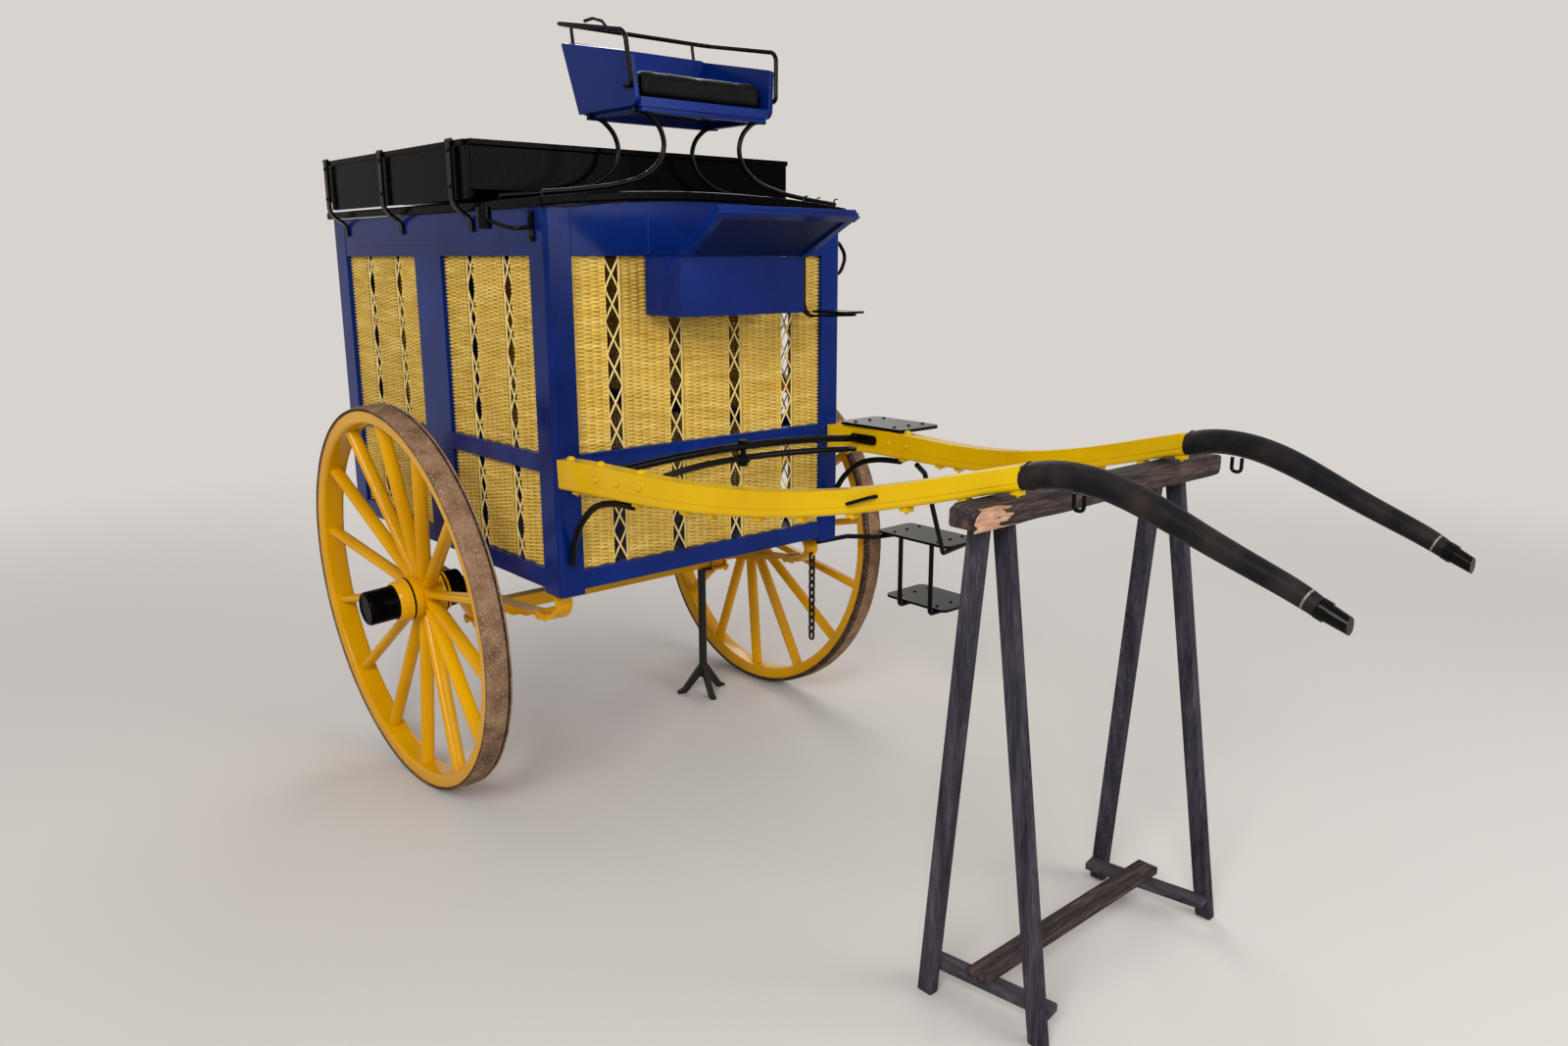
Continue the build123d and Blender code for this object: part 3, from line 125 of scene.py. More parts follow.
def coach_enamel(name, dark, light, worn, gloss, shine):
    made, tree, spot = new_material(name)
    clouds = add(tree, "ShaderNodeTexNoise", {"Vector": spot, "Scale": 1 / CLOUD, "Detail": 3.0})
    base = add(tree, "ShaderNodeValToRGB", {"Fac": clouds}, stops=((0.3, dark), (0.7, light)))
    dust = add(tree, "ShaderNodeTexNoise", {"Vector": spot, "Scale": 1 / DUST, "Detail": 6.0})
    edge = add(tree, "ShaderNodeNewGeometry", output="Pointiness")
    edge = add(
        tree,
        "ShaderNodeMapRange",
        {"Value": edge, "From Min": 0.55, "From Max": 0.64, "To Min": 0.0, "To Max": 0.4},
    )
    rubbed = add(tree, "ShaderNodeMath", {0: edge, 1: dust}, operation="MULTIPLY")
    base = add(tree, "ShaderNodeMix", {0: rubbed, 6: base, 7: colour(worn)}, 2, data_type="RGBA")
    haze = add(
        tree,
        "ShaderNodeMapRange",
        {"Value": dust, "From Min": 0.3, "From Max": 0.75, "To Min": gloss, "To Max": gloss + 0.14},
    )
    lines = add(tree, "ShaderNodeMapping", {"Vector": spot, "Scale": (1.0, 1.0, 0.06)})
    lines = add(tree, "ShaderNodeTexNoise", {"Vector": lines, "Scale": 1 / BRUSH_LINE, "Detail": 2.0})
    relief = add(tree, "ShaderNodeBump", {"Height": lines, "Distance": 0.03 * MM, "Strength": 0.3})
    surface = add(
        tree,
        "ShaderNodeBsdfPrincipled",
        {"Base Color": base, "Roughness": haze, "IOR": 1.48, "Specular IOR Level": shine, "Normal": relief},
    )
    add(tree, "ShaderNodeOutputMaterial", {"Surface": surface})
    return made


# Forged wrought iron under black stoving enamel: shiny, with soft hammer marks
HAMMER = 22 * MM
IRON_SPECK = 5 * MM


def black_iron(name, dark, light, gloss, shine):
    made, tree, spot = new_material(name)
    marks = add(tree, "ShaderNodeTexVoronoi", {"Vector": spot, "Scale": 1 / HAMMER}, feature="SMOOTH_F1")
    fine = add(tree, "ShaderNodeTexNoise", {"Vector": spot, "Scale": 1 / IRON_SPECK, "Detail": 4.0})
    base = add(tree, "ShaderNodeValToRGB", {"Fac": fine}, stops=((0.4, dark), (0.75, light)))
    haze = add(
        tree,
        "ShaderNodeMapRange",
        {"Value": fine, "From Min": 0.3, "From Max": 0.8, "To Min": gloss, "To Max": gloss + 0.2},
    )
    relief = add(tree, "ShaderNodeBump", {"Height": marks, "Distance": 0.5 * MM, "Strength": 0.35})
    surface = add(
        tree,
        "ShaderNodeBsdfPrincipled",
        {"Base Color": base, "Roughness": haze, "IOR": 1.5, "Specular IOR Level": shine, "Normal": relief},
    )
    add(tree, "ShaderNodeOutputMaterial", {"Surface": surface})
    return made


# Peeled willow cane, varnished: straw yellow, each strand a little different, with painted shade drawn dark
# between the strands where the weave lies deeper
CANE_STAIN = 90 * MM
CANE_FIBRE = 1.5 * MM  # real fibres are about 0.2 mm, drawn coarser so that they show


def willow_cane(name, dark, middle, light):
    made, tree, spot = new_material(name)
    strand = add(tree, "ShaderNodeAttribute", output="Fac", attribute_name="strand")
    painted_light_level = add(tree, "ShaderNodeAttribute", output="Fac", attribute_name="painted_light_level")
    base = add(
        tree,
        "ShaderNodeValToRGB",
        {"Fac": strand},
        stops=((0.0, dark), (1.0, light), (0.5, middle)),
    )
    stains = add(tree, "ShaderNodeTexNoise", {"Vector": spot, "Scale": 1 / CANE_STAIN, "Detail": 4.0})
    stains = add(
        tree,
        "ShaderNodeMapRange",
        {"Value": stains, "From Min": 0.3, "From Max": 0.7, "To Min": 0.86, "To Max": 1.05},
    )
    # Painted shade: the deeper a point of the weave lies, the lower its level and the darker it is drawn
    depth = add(
        tree,
        "ShaderNodeMapRange",
        {"Value": painted_light_level, "From Min": 0.0, "From Max": 0.62, "To Min": 0.22, "To Max": 1.0},
    )
    stains_and_painted_shade = add(tree, "ShaderNodeMath", {0: stains, 1: depth}, operation="MULTIPLY")
    # Real stains and painted shade both draw the cane towards this dark brown
    base = add(tree, "ShaderNodeMix", {0: stains_and_painted_shade, 6: colour("#3a2608"), 7: base}, 2, data_type="RGBA")
    fibre = add(tree, "ShaderNodeTexNoise", {"Vector": spot, "Scale": 1 / CANE_FIBRE, "Detail": 2.0})
    relief = add(tree, "ShaderNodeBump", {"Height": fibre, "Distance": 0.1 * MM, "Strength": 0.4})
    surface = add(
        tree,
        "ShaderNodeBsdfPrincipled",
        {"Base Color": base, "Roughness": 0.42, "IOR": 1.45, "Specular IOR Level": 0.22, "Normal": relief},
    )
    add(tree, "ShaderNodeOutputMaterial", {"Surface": surface})
    return made


# Waxed harness leather, black: fine pebble grain, dull, browner where it is rubbed
PEBBLE = 2.2 * MM  # real grain is about 0.6 mm, drawn coarser so that it shows
RUBBED_PATCH = 70 * MM


def black_leather(name, base_code, rubbed_code, rough):
    made, tree, spot = new_material(name)
    patches = add(tree, "ShaderNodeTexNoise", {"Vector": spot, "Scale": 1 / RUBBED_PATCH, "Detail": 5.0})
    base = add(
        tree,
        "ShaderNodeValToRGB",
        {"Fac": patches},
        stops=((0.42, base_code), (0.78, rubbed_code)),
    )
    grain = add(tree, "ShaderNodeTexVoronoi", {"Vector": spot, "Scale": 1 / PEBBLE}, feature="F1")
    relief = add(tree, "ShaderNodeBump", {"Height": grain, "Distance": 0.25 * MM, "Strength": 0.45})
    haze = add(
        tree,
        "ShaderNodeMapRange",
        {"Value": patches, "From Min": 0.3, "From Max": 0.8, "To Min": rough, "To Max": rough + 0.2},
    )
    surface = add(
        tree,
        "ShaderNodeBsdfPrincipled",
        {"Base Color": base, "Roughness": haze, "IOR": 1.46, "Specular IOR Level": 0.08, "Normal": relief},
    )
    add(tree, "ShaderNodeOutputMaterial", {"Surface": surface})
    return made


# Old solid tyre, crusted with dried mud and grit: dull grey-brown with pale specks
GRIT = 4 * MM
MUD_PATCH = 60 * MM


def old_tyre(name, dark, middle, light, speck):
    made, tree, spot = new_material(name)
    patches = add(tree, "ShaderNodeTexNoise", {"Vector": spot, "Scale": 1 / MUD_PATCH, "Detail": 6.0})
    base = add(
        tree,
        "ShaderNodeValToRGB",
        {"Fac": patches},
        stops=((0.3, dark), (0.75, light), (0.5, middle)),
    )
    grit = add(tree, "ShaderNodeTexNoise", {"Vector": spot, "Scale": 1 / GRIT, "Detail": 3.0})
    specks = add(
        tree,
        "ShaderNodeMapRange",
        {"Value": grit, "From Min": 0.58, "From Max": 0.7, "To Min": 0.0, "To Max": 0.75},
    )
    base = add(tree, "ShaderNodeMix", {0: specks, 6: base, 7: colour(speck)}, 2, data_type="RGBA")
    relief = add(tree, "ShaderNodeBump", {"Height": grit, "Distance": 1.5 * MM, "Strength": 0.7})
    surface = add(
        tree,
        "ShaderNodeBsdfPrincipled",
        {"Base Color": base, "Roughness": 0.82, "Specular IOR Level": 0.15, "Normal": relief},
    )
    add(tree, "ShaderNodeOutputMaterial", {"Surface": surface})
    return made


# Weathered softwood, unpainted: blue-grey fibres with open grain along the piece
FIBRE = 3 * MM
GROWTH_BAND = 22 * MM


def grey_timber(name, squeeze, dark, middle, light):
    """Squeeze is the X, Y, Z factor of the grain: small along the piece, 1 across it."""
    made, tree, spot = new_material(name)
    grain = add(tree, "ShaderNodeMapping", {"Vector": spot, "Scale": squeeze})
    fibres = add(tree, "ShaderNodeTexNoise", {"Vector": grain, "Scale": 1 / FIBRE, "Detail": 5.0})
    broad = add(tree, "ShaderNodeTexNoise", {"Vector": grain, "Scale": 1 / GROWTH_BAND, "Detail": 3.0})
    both = add(tree, "ShaderNodeMix", {0: 0.5, 2: fibres, 3: broad}, 0, data_type="FLOAT")
    base = add(
        tree,
        "ShaderNodeValToRGB",
        {"Fac": both},
        stops=((0.34, dark), (0.68, light), (0.5, middle)),
    )
    relief = add(tree, "ShaderNodeBump", {"Height": fibres, "Distance": 0.9 * MM, "Strength": 0.7})
    surface = add(
        tree,
        "ShaderNodeBsdfPrincipled",
        {"Base Color": base, "Roughness": 0.78, "Specular IOR Level": 0.12, "Normal": relief},
    )
    add(tree, "ShaderNodeOutputMaterial", {"Surface": surface})
    return made


BLUE = coach_enamel("ultramarine coach enamel", "#04174e", "#06256f", "#2b4088", 0.12, 0.12)
# Blue of the toe board's panel, drawn dark as a painted reflection
DARK_REFLECTION_BLUE = coach_enamel("blue coach enamel with painted dark reflection", "#04102e", "#081a46", "#1c2b58", 0.3, 0.1)
YELLOW = coach_enamel("chrome yellow wheel enamel", "#cb8e00", "#dfa400", "#8a5a06", 0.12, 0.2)
SHAFT_YELLOW = coach_enamel("chrome yellow shaft enamel", "#ca9900", "#dcb500", "#a07410", 0.14, 0.2)
BLACK = coach_enamel("black coach enamel", "#020203", "#040404", "#171512", 0.12, 0.03)
IRON = black_iron("black enamelled iron", "#030303", "#080706", 0.12, 0.11)
STAND_IRON = black_iron("bare forged iron", "#141712", "#2c2a22", 0.4, 0.25)
RING_IRON = black_iron("worn bright iron", "#6a625c", "#a29a92", 0.35, 0.5)
CHAIN_IRON = black_iron("rusty chain iron", "#170c06", "#3a2212", 0.5, 0.2)
CANE = willow_cane("varnished willow cane", "#c89e3c", "#d8b450", "#ebcd76")
PALE_CANE = willow_cane("varnished pale cane", "#dfbe6c", "#e9cd80", "#f2da92")
LEATHER = black_leather("waxed harness leather", "#16161a", "#362c29", 0.38)
CUSHION_LEATHER = black_leather("black cushion leather", "#050506", "#0c0b0c", 0.3)
TYRE = old_tyre("crusted old tyre", "#5c4430", "#7e5f47", "#98785c", "#cfbda9")
TYRE_EDGE = old_tyre("dark tyre edge", "#1d130c", "#33241a", "#4a3627", "#a8957f")
LEG_TIMBER = grey_timber("weathered leg timber", (1.0, 1.0, 0.05), "#191720", "#34313b", "#524a52")
CROSS_TIMBER = grey_timber("weathered cross timber", (1.0, 0.05, 1.0), "#16151b", "#332c2f", "#6b5346")
LONG_TIMBER = grey_timber("weathered brace timber", (0.05, 1.0, 1.0), "#221f25", "#3f3a40", "#5c545c")
SPLIT_TIMBER = grey_timber("freshly split timber", (1.0, 0.12, 1.0), "#8a5c48", "#b98c70", "#d9b59b")
FINISH_OF = {
    "blue_paint": BLUE,
    "cane": CANE,
    "black_paint": BLACK,
    "black_iron": IRON,
    "yellow_paint": YELLOW,
    "leather": LEATHER,
    "tyre": TYRE,
    "grey_timber": LEG_TIMBER,
}


# Making pieces
SAME_SPOT = 0.01 * MM  # vertices closer than this are merged
FLAT = math.radians(0.5)  # faces that turn by less than this are joined
CLEAR = 1 * MM  # keeps two faces from falling on each other


def piece(shape, name, finishes, body, replaced=(), sharp=40.0, weighted=False):
    """Turns a bmesh into a finished piece that rides on a body."""
    mesh = bpy.data.meshes.new(name)
    shape.to_mesh(mesh)
    shape.free()
    mesh.polygons.foreach_set("use_smooth", [True] * len(mesh.polygons))
    mesh.set_sharp_from_angle(angle=math.radians(sharp))
    for finish in finishes:
        mesh.materials.append(finish)
    made = bpy.data.objects.new(name, mesh)
    bpy.context.scene.collection.objects.link(made)
    if weighted:
        made.modifiers.new("normals", "WEIGHTED_NORMAL").weight = 80
    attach(made, body)
    if replaced:
        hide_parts(*replaced)
    return made


def cad_copy(node):
    """A merged copy of a CAD node's mesh, with its flat faces joined."""
    shape = bmesh.new()
    shape.from_mesh(NODES[node].data)
    bmesh.ops.remove_doubles(shape, verts=shape.verts, dist=SAME_SPOT)
    bmesh.ops.dissolve_limit(shape, angle_limit=FLAT, verts=shape.verts, edges=shape.edges)
    return shape


def softened(shape, width, segments=2, sharp=30.0):
    """Rounds every sharp edge."""
    edges = [
        edge
        for edge in shape.edges
        if len(edge.link_faces) == 2 and edge.calc_face_angle() > math.radians(sharp)
    ]
    bmesh.ops.bevel(
        shape,
        geom=edges,
        offset=width,
        offset_type="OFFSET",
        segments=segments,
        profile=0.5,
        affect="EDGES",
        material=-1,
        clamp_overlap=True,
    )


def block(shape, low, high, place=Matrix.Identity(4)):
    """A box between two corners."""
    low, high = Vector(low), Vector(high)
    size = Matrix.Diagonal((*(high - low), 1.0))
    bmesh.ops.create_cube(shape, size=1.0, matrix=place @ Matrix.Translation((low + high) / 2) @ size)


def lofted(shape, rings, sides, capped=True):
    """A skin over rings of equal corner count; each ring is a matrix for a circle of radius 1."""
    loops = []
    for place in rings:
        made = bmesh.ops.create_circle(shape, cap_ends=False, segments=sides, radius=1.0, matrix=place)
        verts = made["verts"]
        loops.append((verts, list({edge for vert in verts for edge in vert.link_edges})))
    for (_, behind), (_, ahead) in zip(loops, loops[1:]):
        bmesh.ops.bridge_loops(shape, edges=behind + ahead)
    if capped:
        shape.faces.new(loops[0][0])
        shape.faces.new(loops[-1][0])


def facing(spot, direction, width=1.0, depth=1.0):
    """Matrix that puts a form made along +Z at a spot, looking in a direction."""
    turn = Vector(direction).to_track_quat("Z", "Y").to_matrix().to_4x4()
    return Matrix.Translation(spot) @ turn @ Matrix.Diagonal((width, depth, 1.0, 1.0))


def rod_rings(points, radius):
    """Rings for a round rod along points."""
    spots = [Vector(point) for point in points]
    rings = []
    for i, spot in enumerate(spots):
        ahead = spots[min(i + 1, len(spots) - 1)] - spots[max(i - 1, 0)]
        rings.append(facing(spot, ahead, radius, radius))
    return rings


def turned(profile, steps, closed=False):
    """A mesh turned about Z from pairs of radius and height."""
    shape = bmesh.new()
    points = [shape.verts.new((r, 0.0, z)) for r, z in profile]
    edges = [shape.edges.new(pair) for pair in zip(points, points[1:])]
    if closed:
        edges.append(shape.edges.new((points[-1], points[0])))
    bmesh.ops.spin(
        shape,
        geom=points + edges,
        cent=(0, 0, 0),
        axis=(0, 0, 1),
        dvec=(0, 0, 0),
        angle=math.tau,
        steps=steps,
        use_merge=True,
    )
    bmesh.ops.remove_doubles(shape, verts=shape.verts, dist=SAME_SPOT)
    bmesh.ops.recalc_face_normals(shape, faces=shape.faces)
    mesh = bpy.data.meshes.new("turned")
    shape.to_mesh(mesh)
    shape.free()
    return mesh


def evaluated(made):
    """A new mesh of an object as its modifiers leave it."""
    bpy.context.view_layer.update()
    graph = bpy.context.evaluated_depsgraph_get()
    return bpy.data.meshes.new_from_object(made.evaluated_get(graph))


def stamp(shape, mesh, place):
    """Adds a copy of a mesh at a place."""
    copy = mesh.copy()
    copy.transform(place)
    shape.from_mesh(copy)
    bpy.data.meshes.remove(copy)


BOLT_SHAPE = ((1.0, 0.0), (1.0, 0.25), (0.8, 0.55), (0.45, 0.75), (0.0, 0.8))  # radius, height
BOLT_HEAD = turned(BOLT_SHAPE, 12)


def bolts(shape, spots, direction, radius):
    """Domed bolt heads at some spots, all looking one way."""
    for spot in spots:
        grow = Matrix.Diagonal((radius, radius, radius, 1.0))
        stamp(shape, BOLT_HEAD, facing(spot, direction) @ grow)


# Woven cane: strands go over and under upright stakes, each row one stake on from the last
STAKE_PITCH = 27 * MM
STAKE_R = 2.4 * MM
STAKE_EDGE = 2 * MM  # how far the outermost stakes stay inside the panel
ROW_PITCH = 5.4 * MM  # real rows are 5 mm, drawn a little coarser so that they show
STRAND_STEPS = 8  # steps of a strand over two stakes
STRAND_SHARE = 0.56  # half a strand's height, as a share of its row
STRAND_DEEP = 2.0 * MM
SWAY = 2.7 * MM  # how far a strand swings out over a stake
RIB = 2.2 * MM  # how far the whole weave stands out over a stake
WANDER = 1.6 * MM  # how far neighbouring rows rise and fall together
WANDER_WAVES = (9, 14)  # for each metre, along the rows and upwards
JOG = 0.7 * MM  # how far a single strand rises and falls
BULGE = 0.9 * MM  # how far a single strand stands in or out
STAKE_SHADE = (0.3, 0.45)  # strand tone and painted shade level of the stakes, which the cane's finish reads; the stakes lie behind the strands, so they get painted shade
LATTICE_MERGE = 0.05 * MM  # joins each strand to the next one in its row
PATTERN_SPAN = 50  # range of the random shift that gives each panel its own pattern
chance = random.Random(7)

# Noise along a strand: waves for each metre, shift of the pattern, change from row to row
SHADE_NOISE = (8, 30, 2.9)
JOG_NOISE = (45, 9, 3.7)
BULGE_NOISE = (30, 20, 5.1)

# Open strips: two flat canes swing across each, between two straight ones
STRIP = 48 * MM
CROSSING = 87 * MM
CROSSING_STEPS = 12
ZIGZAG_R = 2.8 * MM
ZIGZAG_INSET = 1.5 * MM
ZIGZAG_FLAT = 0.8  # a slanting cane's depth as a share of its width
ZIGZAG_DEPTH = 2.6 * MM  # how far the two canes lie before and behind the middle of the wall
SOFT_TURN = 0.985  # below 1, so that a slanting cane turns without a kink
BORDER_R = 3 * MM
# Painted light level of the strip canes: high enough that the cane's finish gives them no painted shade
CANE_PAINTED_LIGHT = 0.9
CANE_WAVES = 6  # changes of shade for each metre


def strand_noise(kind, x, offset, level):
    waves, shift, change = kind
    return noise.noise((x * waves, offset + shift, level * change))


def weave_cell(pitch, row):
    """Two rows of strands over two stakes: what the whole weave repeats."""
    cell = bmesh.new()
    for level, phase in ((0.5, 1), (1.5, -1)):
        rings = []
        for step in range(STRAND_STEPS + 1):
            share = step / STRAND_STEPS
            spot = (2 * pitch * share, -phase * SWAY * math.cos(math.tau * share), level * row)
            size = Matrix.Diagonal((STRAND_SHARE * row, STRAND_DEEP, 1.0, 1.0))
            rings.append(Matrix.Translation(spot) @ Matrix.Rotation(math.pi / 2, 4, "Y") @ size)
        lofted(cell, rings, 4, capped=False)
    mesh = bpy.data.meshes.new("cell")
    cell.to_mesh(mesh)
    cell.free()
    return mesh


def weave_mesh(wide, tall):
    """A woven rectangle from its lower left corner: X across, Z up, its face towards -Y."""
    columns = max(1, round(wide / (2 * STAKE_PITCH)))
    rows = max(1, round(tall / (2 * ROW_PITCH)))
    pitch = wide / columns / 2
    row = tall / rows / 2
    lattice = bpy.data.objects.new("lattice", weave_cell(pitch, row))
    bpy.context.scene.collection.objects.link(lattice)
    for count, step, merge in ((columns, (2 * pitch, 0, 0), True), (rows, (0, 0, 2 * row), False)):
        array = lattice.modifiers.new("array", "ARRAY")
        array.use_relative_offset = False
        array.use_constant_offset = True
        array.constant_offset_displace = step
        array.count = count
        array.use_merge_vertices = merge
        array.merge_threshold = LATTICE_MERGE
    woven = evaluated(lattice)
    bpy.data.objects.remove(lattice)
    shape = bmesh.new()
    shape.from_mesh(woven)
    bpy.data.meshes.remove(woven)
    strand = shape.verts.layers.float.new("strand")
    painted_light_level = shape.verts.layers.float.new("painted_light_level")
    offset = chance.random() * PATTERN_SPAN
    for vert in shape.verts:
        x, y, z = vert.co
        level = min(int(z / row), 2 * rows)
        vert[strand] = 0.5 + 0.7 * strand_noise(SHADE_NOISE, x, offset, level)
        rib = 0.5 + 0.5 * math.cos(math.tau * x / pitch)
        # Painted shade: points further back get a lower level, points over the stakes a little higher
        vert[painted_light_level] = min(1.0, max(0.0, 0.5 + 0.16 * rib - y / (2 * (SWAY + STRAND_DEEP))))
        wave = noise.noise((x * WANDER_WAVES[0], offset, z * WANDER_WAVES[1]))
        vert.co.z += WANDER * wave + JOG * strand_noise(JOG_NOISE, x, offset, level)
        vert.co.y += BULGE * strand_noise(BULGE_NOISE, x, offset, level) - RIB * rib
    for i in range(2 * columns + 1):
        x = min(max(i * pitch, STAKE_EDGE), wide - STAKE_EDGE)
        before = len(shape.verts)
        lofted(shape, rod_rings(((x, 0, 0), (x, 0, tall)), STAKE_R), 6)
        shape.verts.ensure_lookup_table()
        for vert in shape.verts[before:]:
            vert[strand], vert[painted_light_level] = STAKE_SHADE
    return shape


def zigzag(shape, middle, low, high, phase, depth):
    """One flat cane that swings from side to side up an open strip."""
    count = max(1, round((high - low) / CROSSING))
    pitch = (high - low) / count
    reach = STRIP / 2 - ZIGZAG_INSET
    steps = CROSSING_STEPS * count
    points = []
    for i in range(steps + 1):
        z = low + (high - low) * i / steps
        swing = math.cos(math.pi * (z - low) / pitch + phase)
        points.append((middle + reach * math.asin(SOFT_TURN * swing) / math.asin(SOFT_TURN), depth, z))
    rings = rod_rings(points, ZIGZAG_R)
    lofted(shape, rings, 6)
    for vert in shape.verts[-6 * len(rings) :]:
        vert.co.y = depth + (vert.co.y - depth) * ZIGZAG_FLAT


def panel(name, body, place, fields, strips, replaced):
    """A woven wall panel and the canes of its open strips; fields are left, right, low, high."""
    weave = bmesh.new()
    canes = bmesh.new()
    for left, right, low, high in fields:
        middle = (left + right) / 2
        edges = [left]
        for strip in strips:
            edges += [middle + strip - STRIP / 2, middle + strip + STRIP / 2]
        edges.append(right)
        for start, end in zip(edges[::2], edges[1::2]):
            part = weave_mesh(end - start, high - low)
            part.transform(Matrix.Translation((start, 0, low)))
            mesh = bpy.data.meshes.new("part")
            part.to_mesh(mesh)
            part.free()
            weave.from_mesh(mesh)
            bpy.data.meshes.remove(mesh)
        for strip in strips:
            canes.verts.ensure_lookup_table()
            for phase, depth in ((0.0, -ZIGZAG_DEPTH), (math.pi, ZIGZAG_DEPTH)):
                zigzag(canes, middle + strip, low, high, phase, depth)
            for side in (-1, 1):
                x = middle + strip + side * STRIP / 2
                lofted(canes, rod_rings(((x, 0, low), (x, 0, high)), BORDER_R), 8)
    strand = canes.verts.layers.float.new("strand")
    painted_light_level = canes.verts.layers.float.new("painted_light_level")
    for vert in canes.verts:
        vert[strand] = 0.5 + 0.5 * noise.noise(vert.co * CANE_WAVES)
        vert[painted_light_level] = CANE_PAINTED_LIGHT
    for shape, part, finish in ((weave, "weave", CANE), (canes, "canes", PALE_CANE)):
        shape.transform(place)
        bmesh.ops.recalc_face_normals(shape, faces=shape.faces)
        piece(shape, f"{name}_{part}", [finish], body, replaced, sharp=70.0)


# Cane panels: two bays on each side, and the open strips in metres from the middle of each field
WICKER_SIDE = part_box("wicker_right")
BAY_FRONT = 534 * MM  # length of the front bay
BAY_GAP = 183 * MM  # length of wall between the two bays
SIDE_STRIPS = (-0.110, 0.110)
FRONT_STRIPS = (-0.318, -0.110, 0.110, 0.318)
DOOR_STRIPS = (0.0,)
BAYS = (
    (WICKER_SIDE[1].x - BAY_FRONT, WICKER_SIDE[1].x),
    (WICKER_SIDE[0].x, WICKER_SIDE[1].x - BAY_FRONT - BAY_GAP),
)


def wall_panels():
    for side, sign in SIDES:
        low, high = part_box(f"wicker_{side}")
        turn = Matrix.Identity(4) if sign < 0 else Matrix.Rotation(math.pi, 4, "Z")
        place = Matrix.Translation((0, (low.y + high.y) / 2, 0)) @ turn
        fields = [
            (min(-sign * start, -sign * end), max(-sign * start, -sign * end), *rows)
            for start, end in BAYS
            for rows in (LOWER_ROW, UPPER_ROW)
        ]
        panel(f"side_{side}", "cart", place, fields, SIDE_STRIPS, [f"wicker_{side}"])
    low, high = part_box("wicker_front")
    place = Matrix.Translation(((low.x + high.x) / 2, 0, 0)) @ Matrix.Rotation(math.pi / 2, 4, "Z")
    fields = [(low.y, high.y, *rows) for rows in (LOWER_ROW, UPPER_ROW)]
    panel("front", "cart", place, fields, FRONT_STRIPS, ["wicker_front"])
    for side, sign in SIDES:
        low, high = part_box(f"wicker_door_{side}")
        place = Matrix.Translation(((low.x + high.x) / 2, 0, 0)) @ Matrix.Rotation(-math.pi / 2, 4, "Z")
        fields = [(-high.y, -low.y, low.z, LOWER_ROW[1]), (-high.y, -low.y, UPPER_ROW[0], high.z)]
        panel(f"door_{side}", f"door_{side}", place, fields, DOOR_STRIPS, [f"wicker_door_{side}"])


# Joinery and flat irons: copies of the boards, frames and irons with rounded edges
BODY_OF = {node: body for body, nodes in frame["record"]["behaviour"]["bodies"].items() for node in nodes}
JOINERY = (  # node, width of the rounded edge in mm
    ("corner_posts", 2.5),
    ("side_frame_right", 2.0),
    ("side_frame_left", 2.0),
    ("front_frame", 2.0),
    ("rear_frame", 2.0),
    ("door_right", 2.5),
    ("door_left", 2.5),
    ("floor_boards", 1.5),
    ("roof", 5.0),
    ("tray_ends", 2.5),
    ("tray_sides", 2.5),
    ("tray_floor", 1.0),
    ("tray_stays", 1.5),
    ("seat_arms", 1.8),
    ("seat_back", 3.0),
    ("foot_box", 2.5),
    ("toe_board", 2.0),
    ("axle", 3.0),
    ("axle_stand", 1.5),
    ("step_plates", 2.0),
    ("door_straps_right", 1.0),
    ("door_straps_left", 1.0),
    ("spring_hangers", 1.5),
)


def joinery():
    for node, width in JOINERY:
        shape = cad_copy(node)
        softened(shape, width * MM)
        finish = STAND_IRON if node == "axle_stand" else FINISH_OF[SLOT_OF[node]]
        piece(shape, f"{node}_board", [finish], BODY_OF[node], [node], weighted=True)


def finish_nodes():
    """Every CAD node that stays gets its finish."""
    for node, made in NODES.items():
        made.data.materials.clear()
        made.data.materials.append(FINISH_OF[SLOT_OF[node]])
    for side, _ in SIDES:
        NODES[f"shaft_{side}"].data.materials[0] = SHAFT_YELLOW
    NODES["drag_chain"].data.materials[0] = CHAIN_IRON


# Places found in the solids
def corners(spots):
    """Lowest and highest corners of a box round some points."""
    low = Vector([min(spot[i] for spot in spots) for i in range(3)])
    high = Vector([max(spot[i] for spot in spots) for i in range(3)])
    return low, high


def separate_solids(shape):
    """The vertices of each solid of a bmesh, in a list for each."""
    solids = []
    left = set(shape.verts)
    while left:
        group = [left.pop()]
        for vert in group:
            for edge in vert.link_edges:
                other = edge.other_vert(vert)
                if other in left:
                    left.remove(other)
                    group.append(other)
        solids.append(group)
    return solids


def solid_boxes(node):
    """Lowest and highest corners of each solid in a node."""
    shape = cad_copy(node)
    boxes = [corners([vert.co for vert in group]) for group in separate_solids(shape)]
    shape.free()
    return sorted(boxes, key=lambda box: tuple(box[0]))


def cut(node, x, sign):
    """Lowest and highest corners of a node where a plane across X cuts it, on one side of the cart."""
    mesh = NODES[node].data
    spots = []
    for edge in mesh.edges:
        a, b = (mesh.vertices[i].co for i in edge.vertices)
        if (a.x - x) * (b.x - x) < 0 and (a.y - CENTRE) * sign > 0:
            spots.append(a.lerp(b, (x - a.x) / (b.x - a.x)))
    return corners(spots)


